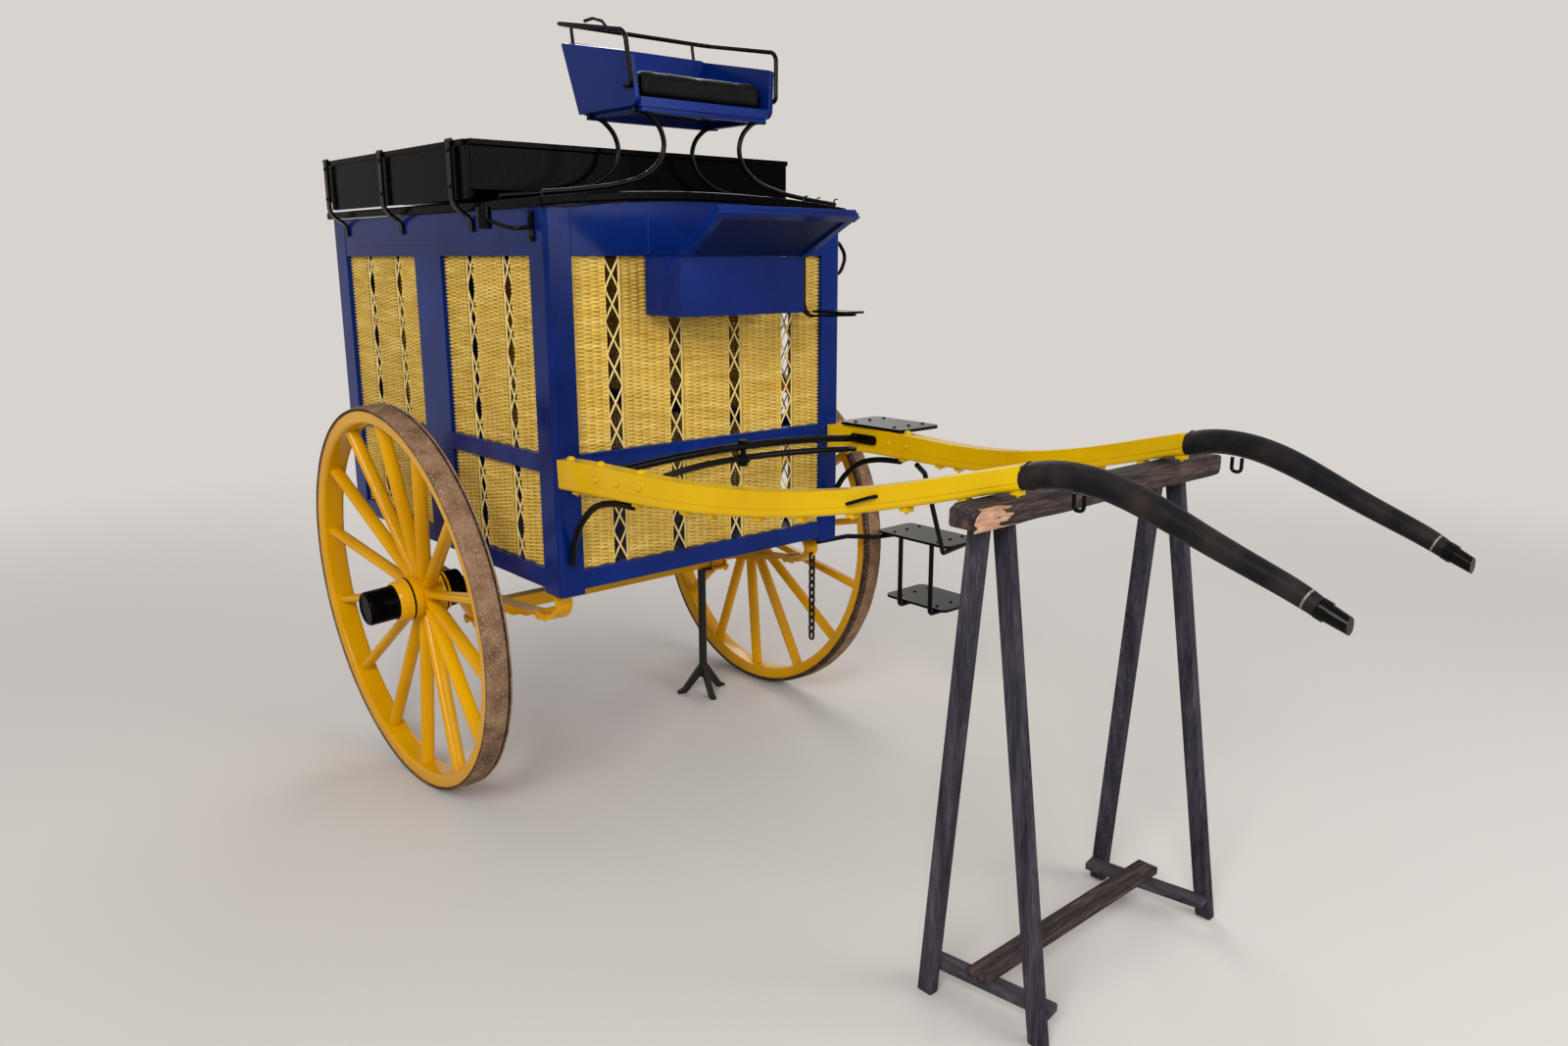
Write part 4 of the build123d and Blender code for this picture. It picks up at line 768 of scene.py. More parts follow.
# Wheels: enamelled nave and felloe with painted lines, black hub cap and collar, crusted tyre
TYRE_R = 600 * MM
RIM_R = 586 * MM
RIM_DEPTH = 38 * MM
RIM_HALF = 37 * MM
RIM_ROUND = 12 * MM
TYRE_HALF = 40 * MM
NAVE_SHAPE = (  # radius, distance outwards from the rim's middle
    (54, -124),
    (60, -124),
    (65, -122.5),
    (66.5, -119),
    (66.5, -104),
    (65, -101),
    (63.2, -99),
    (63, -94),
    (63, -40),
    (63.6, -37),
    (65.4, -34.6),
    (66.6, -31),
    (66.6, -1),
    (65.6, 2),
    (65.4, 6),
    (59.5, 32),
    (57, 35.5),
    (54, 36),
)
COLLAR_SHAPE = ((25, -151.9), (55, -151.9), (57.3, -150), (57.6, -147), (57.6, -128), (57, -124.2))
LINE_SHAPES = (
    ((66, -9), (67, -8.6), (67, -2.4), (66, -2)),
    ((66, -114), (67, -113.6), (67, -108.4), (66, -108)),
)
FLANGE_SHAPE = ((34, -176.6), (54.2, -176.6), (55, -175), (55, -154.4), (54.2, -152.8), (34, -152.8))
CAP_FOOT = ((30, 36), (52.4, 36), (53.4, 37.5), (53.4, 41), (52, 43))
CAP_FACE = (  # radius, distance back from the cap's outer face
    (52, 9),
    (51, 5),
    (48.5, 1.6),
    (45.5, 0.2),
    (41, 0),
    (38.5, 0.8),
    (37, 3),
    (0, 4),
)
CAP_SHORT = 2.5  # how far the cap stops short of the solid one's leaning edge, in mm
WHEEL_STEPS = 96
FELLOE_STEPS = 192
TYRE_STEPS = 288
CORNER_STEPS = 4
TYRE_CORNER = 6 * MM
TREAD = (22, 11, 0, -11, -22)  # places of the tread's points across the tyre, in mm
WEAR = 0.9 * MM  # depth of the worn hollows
WEAR_LEAST = 0.4 * MM  # wear between the hollows
WEAR_WAVES = (22, 75)  # hollows for each metre, broad and small
SMALL_SHARE = 0.6  # depth of the small hollows as a share of the broad ones
WEAR_START = RIM_R + 2 * MM
EDGE_LEAN = 0.6  # faces that look along the axle by more than this belong to the dark edges
WHEEL_FINISH = {"yellow_paint": YELLOW, "black_iron": BLACK}


def quarter(centre_r, centre_z, radius, start):
    """Points of a quarter circle, from a starting angle in degrees."""
    bearings = [math.radians(start + 90 * i / CORNER_STEPS) for i in range(CORNER_STEPS + 1)]
    return [(centre_r + radius * math.cos(a), centre_z + radius * math.sin(a)) for a in bearings]


def in_mm(profile):
    return [(r * MM, z * MM) for r, z in profile]


def on_wheel(side, sign):
    """Matrix of a wheel: its middle, with Z along the leaning axle."""
    low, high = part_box(f"tyre_{side}")
    return facing((low + high) / 2, (0, sign * math.cos(CAMBER), -math.sin(CAMBER)))


def cap_shape(side, place):
    """Profile of a hub cap that reaches as far out as the solid one."""
    reach = max(abs(corner.y - CENTRE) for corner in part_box(f"hub_cap_{side}"))
    end = (reach - abs(place.translation.y - CENTRE)) / MM - CAP_SHORT
    return in_mm((*CAP_FOOT, *[(radius, end - back) for radius, back in CAP_FACE]))


def felloe_shape():
    """Profile of a felloe, with its two inner edges rounded."""
    inner = RIM_R - RIM_DEPTH + RIM_ROUND
    outer_edge = quarter(inner, RIM_HALF - RIM_ROUND, RIM_ROUND, 90)
    inner_edge = quarter(inner, -RIM_HALF + RIM_ROUND, RIM_ROUND, 180)
    return [(RIM_R, RIM_HALF), *outer_edge, *inner_edge, (RIM_R, -RIM_HALF)]


def wheel_part(name, profile, slot, place, body, replaced=(), steps=WHEEL_STEPS, closed=False):
    """A turned piece of a wheel."""
    shape = bmesh.new()
    stamp(shape, turned(profile, steps, closed), place)
    piece(shape, name, [WHEEL_FINISH[slot]], body, replaced, sharp=32.0)


def wheels():
    for side, sign in SIDES:
        place = on_wheel(side, sign)
        body = f"wheel_{side}"
        nave = [f"nave_{side}"]
        cap = [f"hub_cap_{side}"]
        felloe = [f"felloe_{side}"]
        rim = felloe_shape()
        wheel_part(f"nave_turned_{side}", in_mm(NAVE_SHAPE), "yellow_paint", place, body, nave)
        wheel_part(f"nave_collar_{side}", in_mm(COLLAR_SHAPE), "black_iron", place, body, nave)
        for number, line in enumerate(LINE_SHAPES):
            wheel_part(f"nave_line_{side}_{number}", in_mm(line), "black_iron", place, body)
        wheel_part(f"axle_flange_{side}", in_mm(FLANGE_SHAPE), "black_iron", place, "cart", closed=True)
        wheel_part(f"hub_cap_turned_{side}", cap_shape(side, place), "black_iron", place, body, cap)
        wheel_part(
            f"felloe_turned_{side}", rim, "yellow_paint", place, body, felloe, FELLOE_STEPS, closed=True
        )
        crust(side, place, body)


def crust(side, place, body):
    """The worn tyre, with its uneven tread and dark edges."""
    corner_r = TYRE_R - TYRE_CORNER
    profile = [(RIM_R, TYRE_HALF)]
    profile += quarter(corner_r, TYRE_HALF - TYRE_CORNER, TYRE_CORNER, 90)[::-1]
    profile += [(TYRE_R, z * MM) for z in TREAD]
    profile += quarter(corner_r, -TYRE_HALF + TYRE_CORNER, TYRE_CORNER, 0)[::-1]
    profile.append((RIM_R, -TYRE_HALF))
    mesh = turned(profile, TYRE_STEPS, closed=True)
    shape = bmesh.new()
    shape.from_mesh(mesh)
    bpy.data.meshes.remove(mesh)
    for vert in shape.verts:
        radius = vert.co.xy.length
        if radius > WEAR_START:
            broad, small = (noise.noise(vert.co * waves) for waves in WEAR_WAVES)
            vert.co.xy *= 1 + min(0.0, WEAR * (broad + SMALL_SHARE * small) - WEAR_LEAST) / radius
    for face in shape.faces:
        face.material_index = int(abs(face.normal.z) > EDGE_LEAN)
    shape.transform(place)
    piece(shape, f"tyre_crusted_{side}", [TYRE, TYRE_EDGE], body, [f"tyre_{side}"], sharp=50.0)


# Shafts: upper board over a narrower strap, nuts beneath, bolt heads on top and on both faces
SHAFT_NUTS = (70, 330, 498, 582, 724, 844, 978, 1110, 1242, 1352)  # mm ahead of the front posts
SHAFT_TOP_BOLTS = (40, 186, 346)
SHAFT_SIDE_BOLTS = (198, 282, 364)
SHAFT_STEPS = 26
SHAFT_INSET = 0.4 * MM  # how far the board starts from each end of the shaft
UPPER_SHARE = 0.66  # share of the shaft's depth that the upper board takes
LEDGE = 1.4 * MM
BOARD_ROUND = 1.6 * MM
NUT_LOW = (-11 * MM, -11 * MM, -9 * MM)
NUT_HIGH = (11 * MM, 11 * MM, 2 * MM)
NUT_ROUND = 1.2 * MM
STEM_R = 4 * MM
STEM_TALL = 7 * MM
STEM_DROP = 11 * MM  # from the shaft's underside to the middle of the bolt's end
TOP_HEAD_R = 12 * MM
SIDE_HEAD_R = 9 * MM
SIDE_LEVEL = 0.58  # height of the side bolts as a share of the shaft's depth


def shaft_board(side, sign):
    """The upper board, which stands out a little past the shaft on every side."""
    node = f"shaft_{side}"
    low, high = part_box(node)
    start = low.x + SHAFT_INSET
    reach = high.x - low.x - 2 * SHAFT_INSET
    sections = [cut(node, start + reach * i / SHAFT_STEPS, sign) for i in range(SHAFT_STEPS + 1)]
    rings = []
    for i, (lowest, highest) in enumerate(sections):
        before = sections[max(i - 1, 0)]
        after = sections[min(i + 1, SHAFT_STEPS)]
        ahead = (after[0] + after[1]) - (before[0] + before[1])
        wide = highest.y - lowest.y + 2 * LEDGE
        tall = (highest.z - lowest.z) * UPPER_SHARE + LEDGE
        spot = (lowest + highest) / 2
        spot.z = highest.z + LEDGE - tall / 2
        turn = Matrix.Rotation(math.pi / 4, 4, "Z")
        rings.append(facing(spot, ahead, wide / math.sqrt(2), tall / math.sqrt(2)) @ turn)
    board = bmesh.new()
    lofted(board, rings, 4)
    bmesh.ops.recalc_face_normals(board, faces=board.faces)
    softened(board, BOARD_ROUND, sharp=50.0)
    piece(board, f"shaft_board_{side}", [SHAFT_YELLOW], "cart", weighted=True)


def shaft_bolts(side, sign):
    """Square nuts with the bolts' ends beneath a shaft, and domed heads on it."""
    node = f"shaft_{side}"
    heads = bmesh.new()
    for x in SHAFT_NUTS:
        lowest, highest = cut(node, FRONT + x * MM, sign)
        spot = Vector((FRONT + x * MM, (lowest.y + highest.y) / 2, lowest.z))
        block(heads, NUT_LOW, NUT_HIGH, Matrix.Translation(spot))
        stem = Matrix.Translation(spot - Vector((0, 0, STEM_DROP)))
        bmesh.ops.create_cone(
            heads, cap_ends=True, segments=10, radius1=STEM_R, radius2=STEM_R, depth=STEM_TALL, matrix=stem
        )
    softened(heads, NUT_ROUND)
    for x in SHAFT_TOP_BOLTS:
        lowest, highest = cut(node, FRONT + x * MM, sign)
        spot = (FRONT + x * MM, (lowest.y + highest.y) / 2, highest.z + LEDGE)
        bolts(heads, [spot], (0, 0, 1), TOP_HEAD_R)
    for x in SHAFT_SIDE_BOLTS:
        lowest, highest = cut(node, FRONT + x * MM, sign)
        level = lowest.z + SIDE_LEVEL * (highest.z - lowest.z)
        bolts(heads, [(FRONT + x * MM, highest.y + LEDGE, level)], (0, 1, 0), SIDE_HEAD_R)
        bolts(heads, [(FRONT + x * MM, lowest.y - LEDGE, level)], (0, -1, 0), SIDE_HEAD_R)
    piece(heads, f"shaft_bolts_{side}", [SHAFT_YELLOW], "cart", sharp=35.0)


def shaft_fittings():
    for side, sign in SIDES:
        shaft_board(side, sign)
        shaft_bolts(side, sign)


# Leather sleeves: a seam along each, a rolled end behind and a bright ring ahead
SEAM_STEPS = 36
SEAM_R = 1.6 * MM
SEAM_END = 4 * MM  # how far the seam starts from each end
SEAM_PLACE = (0.80, 0.62)  # inwards and downwards, as shares of the sleeve's radius
ROLL_PLACE = 14 * MM  # from the sleeve's rear end
ROLL_SHAPE = ((-1, -3), (2, 0), (-1, 3))  # past the sleeve's radius, along it, in mm
ROLL_RISE = 0.27  # rise of the sleeve for each metre ahead
RING_PLACE = 24 * MM  # from the sleeve's front end
RING_SHAPE = ((-1, -2.4), (0.8, -1.6), (0.8, 1.6), (-1, 2.4))
RING_RISE = -0.41


def sleeve_round(x, sign):
    """Middle and radius of a sleeve where a plane across X cuts it."""
    lowest, highest = cut("shaft_sleeves", x, sign)
    return (lowest + highest) / 2, (highest.y - lowest.y) / 2


def sleeve_band(shape, x, sign, profile, rise, steps):
    """A band around a sleeve, from a profile that is measured from the sleeve's radius."""
    middle, radius = sleeve_round(x, sign)
    band = turned(in_mm([(radius / MM + past, along) for past, along in profile]), steps)
    stamp(shape, band, facing(middle, (1, 0, rise)))


def sleeve_trim():
    low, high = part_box("shaft_sleeves")
    reach = high.x - low.x - 2 * SEAM_END
    for side, sign in SIDES:
        points = []
        for i in range(SEAM_STEPS + 1):
            middle, radius = sleeve_round(low.x + SEAM_END + reach * i / SEAM_STEPS, sign)
            inwards, downwards = (share * radius for share in SEAM_PLACE)
            points.append(middle + Vector((0, -sign * inwards, -downwards)))
        seam = bmesh.new()
        lofted(seam, rod_rings(points, SEAM_R), 6)
        sleeve_band(seam, low.x + ROLL_PLACE, sign, ROLL_SHAPE, ROLL_RISE, 32)
        piece(seam, f"sleeve_seam_{side}", [LEATHER], "cart", sharp=60.0)
        ring = bmesh.new()
        sleeve_band(ring, high.x - RING_PLACE, sign, RING_SHAPE, RING_RISE, 48)
        piece(ring, f"sleeve_ring_{side}", [RING_IRON], "cart", sharp=40.0)


# Toe board: a blue panel drawn dark as a painted reflection, under a raised blue rail
TOE_THICK = 12 * MM
TOE_SINK = 2 * MM  # how far panel and rail sink into the board, and how far the panel stands out
PANEL_SIDE = 28 * MM  # board left bare beside the panel
PANEL_FOOT = 13 * MM  # board left bare below it
PANEL_HEAD = 22 * MM  # from the panel's upper edge, which is under the rail, to the board's
PANEL_TAPER = 0.9  # width of the panel's foot as a share of its head
TOE_RAIL_WIDE = 26 * MM
TOE_RAIL_HIGH = 9.5 * MM
TOE_RAIL_ROUND = 2 * MM


def toe_panel():
    low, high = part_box("toe_board")
    box_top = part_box("foot_box")[1]
    rise = high.z - box_top.z - TOE_THICK
    reach = high.x - box_top.x
    slope = math.atan2(rise, reach)
    long = math.hypot(reach, rise)
    half = (high.y - low.y) / 2
    # X runs across the cart, Y up the slope and Z out of the board's front
    place = Matrix.Translation((box_top.x, CENTRE, box_top.z))
    place @= Matrix((
        (0, math.cos(slope), math.sin(slope), 0),
        (1, 0, 0, 0),
        (0, math.sin(slope), -math.cos(slope), 0),
        (0, 0, 0, 1),
    ))
    side = half - PANEL_SIDE
    dark = bmesh.new()
    block(dark, (-side, PANEL_FOOT, -TOE_SINK), (side, long - PANEL_HEAD, TOE_SINK))
    for vert in dark.verts:
        if vert.co.y < long / 2:
            vert.co.x *= PANEL_TAPER
    dark.transform(place)
    bmesh.ops.recalc_face_normals(dark, faces=dark.faces)
    # The panel's dark blue is a painted reflection
    piece(dark, "toe_panel", [DARK_REFLECTION_BLUE], "cart")
    rail = bmesh.new()
    block(rail, (-half, long - TOE_RAIL_WIDE, -TOE_SINK), (half, long - CLEAR, TOE_RAIL_HIGH))
    rail.transform(place)
    softened(rail, TOE_RAIL_ROUND)
    piece(rail, "toe_rail", [BLUE], "cart", weighted=True)


# Driver's seat: battens under the board, a hook on the rail, a leather cushion
BATTEN_WIDE = 22 * MM
BATTEN_DEEP = 13 * MM
BATTEN_INSET = 5 * MM
BATTEN_ROUND = 1.5 * MM
RAIL_HOOK_R = 4.5 * MM
RAIL_HOOK_INSET = 8 * MM  # from the right side of the seat's rail
RAIL_HOOK_START = (80, 2217)  # behind the front of the front posts and above the ground, in mm
RAIL_HOOK_END = (190, 2236)
RAIL_HOOK_ARCH = (  # share of the way, mm above the straight line
    (0.0, 0),
    (0.2, 16),
    (0.6, 22),
    (1.0, 14),
)


def seat_fittings():
    low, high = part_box("seat_board")
    left, right = low.x + BATTEN_INSET, high.x - BATTEN_INSET
    near, far = low.y + BATTEN_INSET, high.y - BATTEN_INSET
    under, top = low.z - BATTEN_DEEP, low.z + BATTEN_INSET
    battens = bmesh.new()
    block(battens, (left, near, under), (left + BATTEN_WIDE, far, top))
    block(battens, (right - BATTEN_WIDE, near, under), (right, far, top))
    for start in (near, far - BATTEN_WIDE):
        block(
            battens,
            (left + BATTEN_WIDE + CLEAR, start, under + CLEAR),
            (right - BATTEN_WIDE - CLEAR, start + BATTEN_WIDE, top),
        )
    softened(battens, BATTEN_ROUND)
    piece(battens, "seat_battens", [BLUE], "cart", weighted=True)
    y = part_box("seat_rail")[0].y + RAIL_HOOK_INSET
    ends = (RAIL_HOOK_START, RAIL_HOOK_END)
    start, end = (Vector((FRONT - back * MM, y, level * MM)) for back, level in ends)
    points = [start.lerp(end, share) + Vector((0, 0, rise * MM)) for share, rise in RAIL_HOOK_ARCH]
    hook = bmesh.new()
    lofted(hook, rod_rings(points, RAIL_HOOK_R), 10)
    piece(hook, "rail_hook", [IRON], "cart", sharp=60.0)


CUSHION_ROOM = 5 * MM  # room left for the stuffing inside the solid cushion
CUSHION_ROUND = 14 * MM
CUSHION_GRID = 6 * MM
CUSHION_PRESSURE = 4.0
CUSHION_FRAMES = 20
CUSHION_GROWTH = 9 * MM  # how far the stuffing may push the leather


def stuffed(pad, low, high):
    """Pushes a pad's leather out by cloth simulation, and keeps it between two corners."""
    before = [vert.co.copy() for vert in pad.data.vertices]
    cloth = pad.modifiers.new("cloth", "CLOTH")
    cloth.settings.use_pressure = True
    cloth.settings.uniform_pressure_force = CUSHION_PRESSURE
    cloth.settings.effector_weights.gravity = 0.0
    cloth.point_cache.frame_start = 1
    cloth.point_cache.frame_end = CUSHION_FRAMES
    for step in range(1, CUSHION_FRAMES + 1):
        bpy.context.scene.frame_set(step)
    puffed = evaluated(pad)
    pad.modifiers.clear()
    bpy.context.scene.frame_set(1)
    for vert, was in zip(puffed.vertices, before):
        move = vert.co - was
        if move.length > CUSHION_GROWTH:
            move.length = CUSHION_GROWTH
        spot = was + move
        vert.co = [min(max(spot[i], low[i]), high[i]) for i in range(3)]
    pad.data = puffed


def cushion():
    """The seat's cushion, stuffed by cloth simulation."""
    low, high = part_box("seat_cushion")
    room = Vector((CUSHION_ROOM, CUSHION_ROOM, CUSHION_ROOM))
    foot = Vector((CUSHION_ROOM, CUSHION_ROOM, CLEAR))
    shape = bmesh.new()
    block(shape, low + foot, high - room)
    softened(shape, CUSHION_ROUND, segments=4)
    mesh = bpy.data.meshes.new("cushion")
    shape.to_mesh(mesh)
    shape.free()
    pad = bpy.data.objects.new("cushion", mesh)
    bpy.context.scene.collection.objects.link(pad)
    remesh = pad.modifiers.new("remesh", "REMESH")
    remesh.mode = "VOXEL"
    remesh.voxel_size = CUSHION_GRID
    pad.data = evaluated(pad)
    pad.modifiers.clear()
    stuffed(pad, low, high)
    shape = bmesh.new()
    shape.from_mesh(pad.data)
    bpy.data.objects.remove(pad)
    bmesh.ops.smooth_vert(
        shape, verts=shape.verts, factor=0.5, use_axis_x=True, use_axis_y=True, use_axis_z=True
    )
    made = piece(shape, "seat_pad", [CUSHION_LEATHER], "cart", ["seat_cushion"], sharp=80.0)
    smooth = made.modifiers.new("smooth", "SUBSURF")
    smooth.levels = 1
    smooth.render_levels = 1


# Trestle: worn grey timbers, each with the grain along it, and a broken patch on the beam's near end
BEAM_LONG = 0.5  # edges of the beam longer than this, in metres, are divided
BEAM_CUTS = 36
BEAM_WAVE = 1.6 * MM  # how far the worn faces wander
BEAM_WAVES = (9, 11)  # waves for each metre, up and down and to the sides
BEAM_SINK = 1.0 * MM
BEAM_END = 34 * MM  # length over which the beam's worn ends round off
END_LOSS = (0.28, 0.22)  # share of the beam's width and depth that its ends lose
PATCH_WIDE = 124 * MM
PATCH_TALL = 46 * MM
PATCH_EDGE = 2 * MM  # from the beam's near end
PATCH_SINK = 0.5 * MM
PATCH_DEEP = 2 * MM
PATCH_RIDGE = 4.5 * MM
PATCH_SHARE = 0.98  # height of its outer end as a share of its full height
PATCH_NARROWS = 0.5  # what it loses of its height, and how far it drops, for each patch length
PATCH_DROPS = 0.2
RAGGED = 0.16  # how far its ends wander, as a share of its length
RIDGE_FADE = 3.2  # lowers the ridges towards the edges
LEG_ROUND = 3 * MM
LEG_TALL = 0.5  # timbers taller than this, in metres, are legs


def worn_beam():
    beam = cad_copy("trestle_beam")
    long_edges = [edge for edge in beam.edges if edge.calc_length() > BEAM_LONG]
    bmesh.ops.subdivide_edges(beam, edges=long_edges, cuts=BEAM_CUTS)
    for vert in beam.verts:
        vert.co.z += BEAM_WAVE * noise.noise(vert.co * BEAM_WAVES[0]) - BEAM_SINK
        vert.co.x += BEAM_WAVE * noise.noise(vert.co * BEAM_WAVES[1] + Vector((3, 0, 0)))
    low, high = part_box("trestle_beam")
    middle = (low + high) / 2
    straight = (high.y - low.y) / 2 - BEAM_END
    for vert in beam.verts:
        past = max(0.0, abs(vert.co.y - middle.y) - straight) / BEAM_END
        vert.co.x = middle.x + (vert.co.x - middle.x) * (1 - END_LOSS[0] * past * past)
        vert.co.z = middle.z + (vert.co.z - middle.z) * (1 - END_LOSS[1] * past * past)
    piece(beam, "trestle_plank", [CROSS_TIMBER], "cart", ["trestle_beam"], sharp=35.0)


def broken_patch():
    """Pale split wood, ragged and ridged, narrower and lower towards the beam's middle."""
    patch = bmesh.new()
    bmesh.ops.create_grid(patch, x_segments=26, y_segments=12, size=0.5)
    for vert in patch.verts:
        x, y = vert.co.xy
        inwards = max(0.0, x)
        ragged = RAGGED * noise.noise((x * 3, y * 5, 1.7))
        ridges = abs(noise.noise((x * 2.5, y * 9, 4.1)))
        vert.co.x = (x + ragged) * PATCH_WIDE
        vert.co.y = (y * (PATCH_SHARE - PATCH_NARROWS * inwards) - PATCH_DROPS * inwards) * PATCH_TALL
        vert.co.z = PATCH_RIDGE * ridges * (1 - RIDGE_FADE * x * x) * (1 - RIDGE_FADE * y * y)
    bmesh.ops.solidify(patch, geom=patch.faces, thickness=PATCH_DEEP)
    low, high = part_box("trestle_beam")
    spot = (high.x - PATCH_SINK, low.y + PATCH_WIDE / 2 + PATCH_EDGE, (low.z + high.z) / 2)
    turn = Matrix.Rotation(math.pi / 2, 4, "Z") @ Matrix.Rotation(math.pi / 2, 4, "X")
    patch.transform(Matrix.Translation(spot) @ turn)
    bmesh.ops.recalc_face_normals(patch, faces=patch.faces)
    piece(patch, "broken_patch", [SPLIT_TIMBER], "cart", sharp=25.0)


def trestle_legs():
    """Legs and braces; the grain of each follows its longest side."""
    shape = cad_copy("trestle_frame")
    softened(shape, LEG_ROUND)
    for group in separate_solids(shape):
        low, high = corners([vert.co for vert in group])
        size = high - low
        timber = 2 if size.y > size.x else 1
        if size.z > LEG_TALL:
            timber = 0
        for face in {face for vert in group for face in vert.link_faces}:
            face.material_index = timber
    timbers = [LEG_TIMBER, LONG_TIMBER, CROSS_TIMBER]
    piece(shape, "trestle_legs", timbers, "cart", ["trestle_frame"], weighted=True)


def trestle():
    worn_beam()
    broken_patch()
    trestle_legs()


# Small fittings: screws in the steps, bolts on straps, stays and brackets, round ends of the stays
SCREW_R = 6 * MM
SCREW_ROWS = (0.2, 0.8)  # shares of a step's length
SCREW_COLUMNS = (0.14, 0.5, 0.86)  # shares of its width
STAY_BOLTS = (24, 120)  # mm below a stay's upper end
STAY_END_R = 6 * MM
STAY_END_HALF = 15 * MM
STAY_END_INSET = 5 * MM
STAY_END_RISE = 2 * MM
STRAP_BOLTS = (0.12, 0.5, 0.88)  # shares of a hinge strap's length
PLATE_BOLT_R = 7 * MM
PLATE_BOLTS = (1670, 1730)  # mm above the ground
PLATE_BACK = 60 * MM  # behind the front of the front posts
PLATE_OUT = 5 * MM
ROOF_HOOKS = ((360, 4), (422, -6), (488, 2))  # place to the left and lean to the front, in mm
EDGE_TOP = 1786 * MM  # foot of a hook at the centreline, on the roof's front edge
EDGE_FALL = 12 * MM  # how far that edge falls over half its length
EDGE_HALF = 530  # half its length, in mm
ROOF_HOOK_R = 2.5 * MM
ROOF_HOOK_AHEAD = 8 * MM
ROOF_HOOK_RISE = (6 * MM, 22 * MM)  # to the left and upwards, from foot to bend
ROOF_HOOK_TIP = (10 * MM, 2 * MM, 2 * MM)  # forwards, to the left and upwards, from the bend


def step_screws(heads):
    for low, high in solid_boxes("step_plates"):
        for row in SCREW_ROWS:
            for column in SCREW_COLUMNS:
                spot = (low.x + row * (high.x - low.x), low.y + column * (high.y - low.y), high.z)
                bolts(heads, [spot], (0, 0, 1), SCREW_R)


def stay_bolts(heads):
    """Bolts on the irons of the luggage tray, and a short round bar as the upper end of each."""
    for low, high in solid_boxes("tray_stays"):
        outward = 1 if low.y > CENTRE else -1
        x = (low.x + high.x) / 2
        edge = high.y if outward > 0 else low.y
        bolts(heads, [(x, edge, high.z - drop * MM) for drop in STAY_BOLTS], (0, outward, 0), SCREW_R)
        end_y = edge - outward * STAY_END_INSET
        points = [(x + half, end_y, high.z + STAY_END_RISE) for half in (-STAY_END_HALF, STAY_END_HALF)]
        lofted(heads, rod_rings(points, STAY_END_R), 10)


def strap_bolts(side):
    heads = bmesh.new()
    for low, high in solid_boxes(f"door_straps_{side}"):
        level = (low.z + high.z) / 2
        for share in STRAP_BOLTS:
            bolts(heads, [(low.x, low.y + share * (high.y - low.y), level)], (-1, 0, 0), SCREW_R)
    piece(heads, f"strap_bolts_{side}", [IRON], f"door_{side}", sharp=35.0)


def roof_hooks(heads):
    """Three small hooks on the left of the roof's front edge."""
    for y, lean in ROOF_HOOKS:
        level = EDGE_TOP - EDGE_FALL * (y / EDGE_HALF) ** 2
        foot = Vector((FRONT + ROOF_HOOK_AHEAD, CENTRE + y * MM, level))
        bend = foot + Vector((lean * MM, *ROOF_HOOK_RISE))
        points = [foot, foot.lerp(bend, 0.6), bend, bend + Vector(ROOF_HOOK_TIP)]
        lofted(heads, rod_rings(points, ROOF_HOOK_R), 8)


def small_fittings():
    heads = bmesh.new()
    step_screws(heads)
    stay_bolts(heads)
    for side, sign in SIDES:
        strap_bolts(side)
        plate_y = CENTRE + sign * (HALF + PLATE_OUT)
        spots = [(FRONT - PLATE_BACK, plate_y, level * MM) for level in PLATE_BOLTS]
        bolts(heads, spots, (0, sign, 0), PLATE_BOLT_R)
    roof_hooks(heads)
    bmesh.ops.recalc_face_normals(heads, faces=heads.faces)
    piece(heads, "small_irons", [IRON], "cart", sharp=35.0)


# Mouldings on the side walls and a joint cover on the front board
BEAD_R = 2.2 * MM
BEAD_LEVELS = (1634, 1657)  # mm above the ground
COVER_PLACE = 206 * MM  # to the right of the centreline
COVER_HALF = 5 * MM
COVER_ENDS = (1630 * MM, 1742 * MM)
COVER_SINK = 4 * MM
COVER_OUT = 0.6 * MM


def mouldings():
    bead = bmesh.new()
    for side, sign in SIDES:
        low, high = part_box(f"side_frame_{side}")
        y = high.y if sign > 0 else low.y
        for level in BEAD_LEVELS:
            points = ((low.x, y, level * MM), (high.x, y, level * MM))
            lofted(bead, rod_rings(points, BEAD_R), 8)
    cover_y = CENTRE - COVER_PLACE
    block(
        bead,
        (FRONT - COVER_SINK, cover_y - COVER_HALF, COVER_ENDS[0]),
        (FRONT + COVER_OUT, cover_y + COVER_HALF, COVER_ENDS[1]),
    )
    piece(bead, "mouldings", [BLUE], "cart", sharp=50.0)


# Stage: pale floor that runs into the background, soft lamps
PALE = "#d8d3ce"
FLOOR_PALE = "#d2cdc8"
FLOOR_R = 40.0
FADE = (2.8, 7.0)  # distances in metres between which the floor turns into the background
DAYLIGHT = 0.45  # strength of the even light on the object
LAMPS = (  # name, place, target, size, watts
    ("key", (3.6, -5.2, 4.6), (0.0, 0.0, 0.9), 3.0, 330),
    ("fill", (5.5, 1.8, 3.2), (0.0, 0.0, 0.9), 3.5, 150),
    ("back", (-5.0, 3.5, 4.5), (-0.5, 0.0, 1.0), 3.5, 170),
)


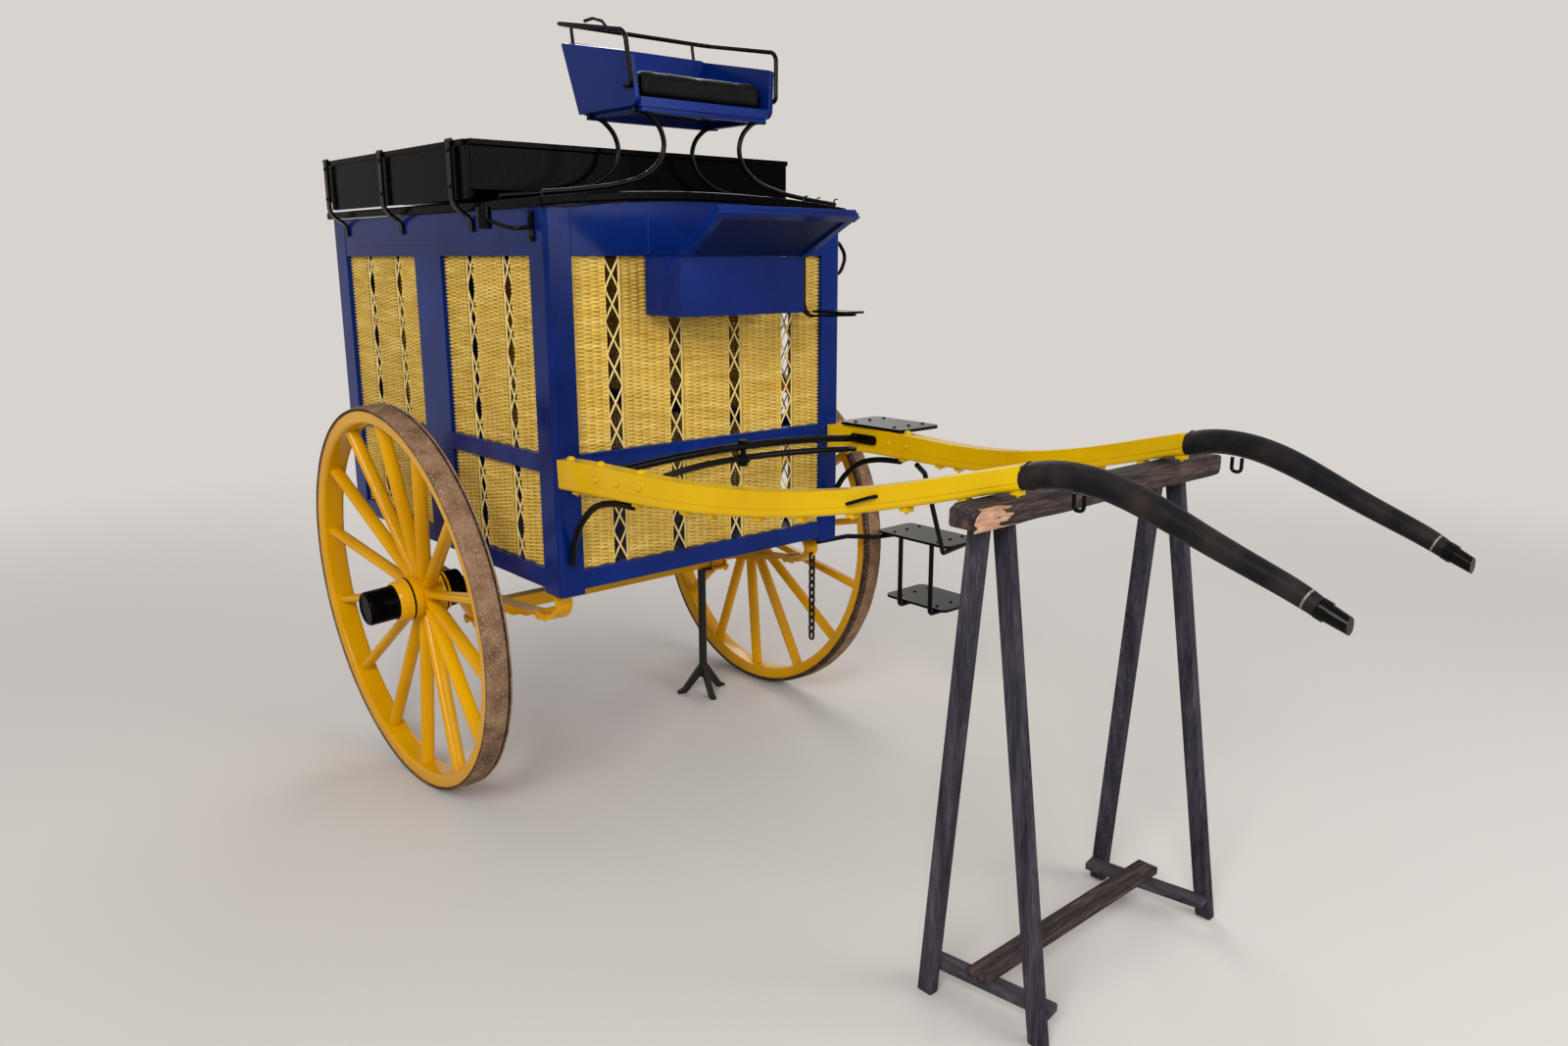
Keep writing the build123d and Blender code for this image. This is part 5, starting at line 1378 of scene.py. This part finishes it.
def make_floor():
    shape = bmesh.new()
    bmesh.ops.create_circle(shape, cap_ends=True, segments=96, radius=FLOOR_R)
    mesh = bpy.data.meshes.new("floor")
    shape.to_mesh(mesh)
    shape.free()
    floor = bpy.data.objects.new("floor", mesh)
    bpy.context.scene.collection.objects.link(floor)
    made, tree, spot = new_material("pale studio floor")
    far = add(tree, "ShaderNodeVectorMath", {0: spot}, "Value", operation="LENGTH")
    far = add(
        tree,
        "ShaderNodeMapRange",
        {"Value": far, "From Min": FADE[0], "From Max": FADE[1]},
        interpolation_type="SMOOTHSTEP",
    )
    near = add(tree, "ShaderNodeBsdfDiffuse", {"Color": colour(FLOOR_PALE)})
    glow = add(tree, "ShaderNodeEmission", {"Color": colour(PALE), "Strength": 1.0})
    both = add(tree, "ShaderNodeMixShader", {0: far, 1: near, 2: glow})
    add(tree, "ShaderNodeOutputMaterial", {"Surface": both})
    mesh.materials.append(made)


def make_world():
    """Even light on the object, and the pale background where the camera or a mirror looks."""
    world = bpy.data.worlds.new("studio")
    world.use_nodes = True
    tree = world.node_tree
    tree.nodes.clear()
    seen = add(tree, "ShaderNodeLightPath", output="Is Camera Ray")
    glossy = add(tree, "ShaderNodeLightPath", output="Is Glossy Ray")
    through = add(tree, "ShaderNodeLightPath", output="Is Transmission Ray")
    seen = add(tree, "ShaderNodeMath", {0: seen, 1: glossy}, operation="MAXIMUM")
    seen = add(tree, "ShaderNodeMath", {0: seen, 1: through}, operation="MAXIMUM")
    light = add(tree, "ShaderNodeBackground", {"Color": (1.0, 1.0, 1.0, 1.0), "Strength": DAYLIGHT})
    back = add(tree, "ShaderNodeBackground", {"Color": colour(PALE), "Strength": 1.0})
    both = add(tree, "ShaderNodeMixShader", {0: seen, 1: light, 2: back})
    add(tree, "ShaderNodeOutputWorld", {"Surface": both})
    bpy.context.scene.world = world


def make_stage():
    make_floor()
    make_world()
    for name, place, target, size, watts in LAMPS:
        lamp = bpy.data.lights.new(name, "AREA")
        lamp.size = size
        lamp.energy = watts
        made = bpy.data.objects.new(name, lamp)
        made.location = place
        made.rotation_euler = (Vector(target) - Vector(place)).to_track_quat("-Z", "Y").to_euler()
        bpy.context.scene.collection.objects.link(made)
    bpy.context.scene.view_settings.view_transform = "Standard"


make_camera()
make_stage()
finish_nodes()
joinery()
wall_panels()
wheels()
shaft_fittings()
sleeve_trim()
toe_panel()
seat_fittings()
cushion()
trestle()
small_fittings()
mouldings()
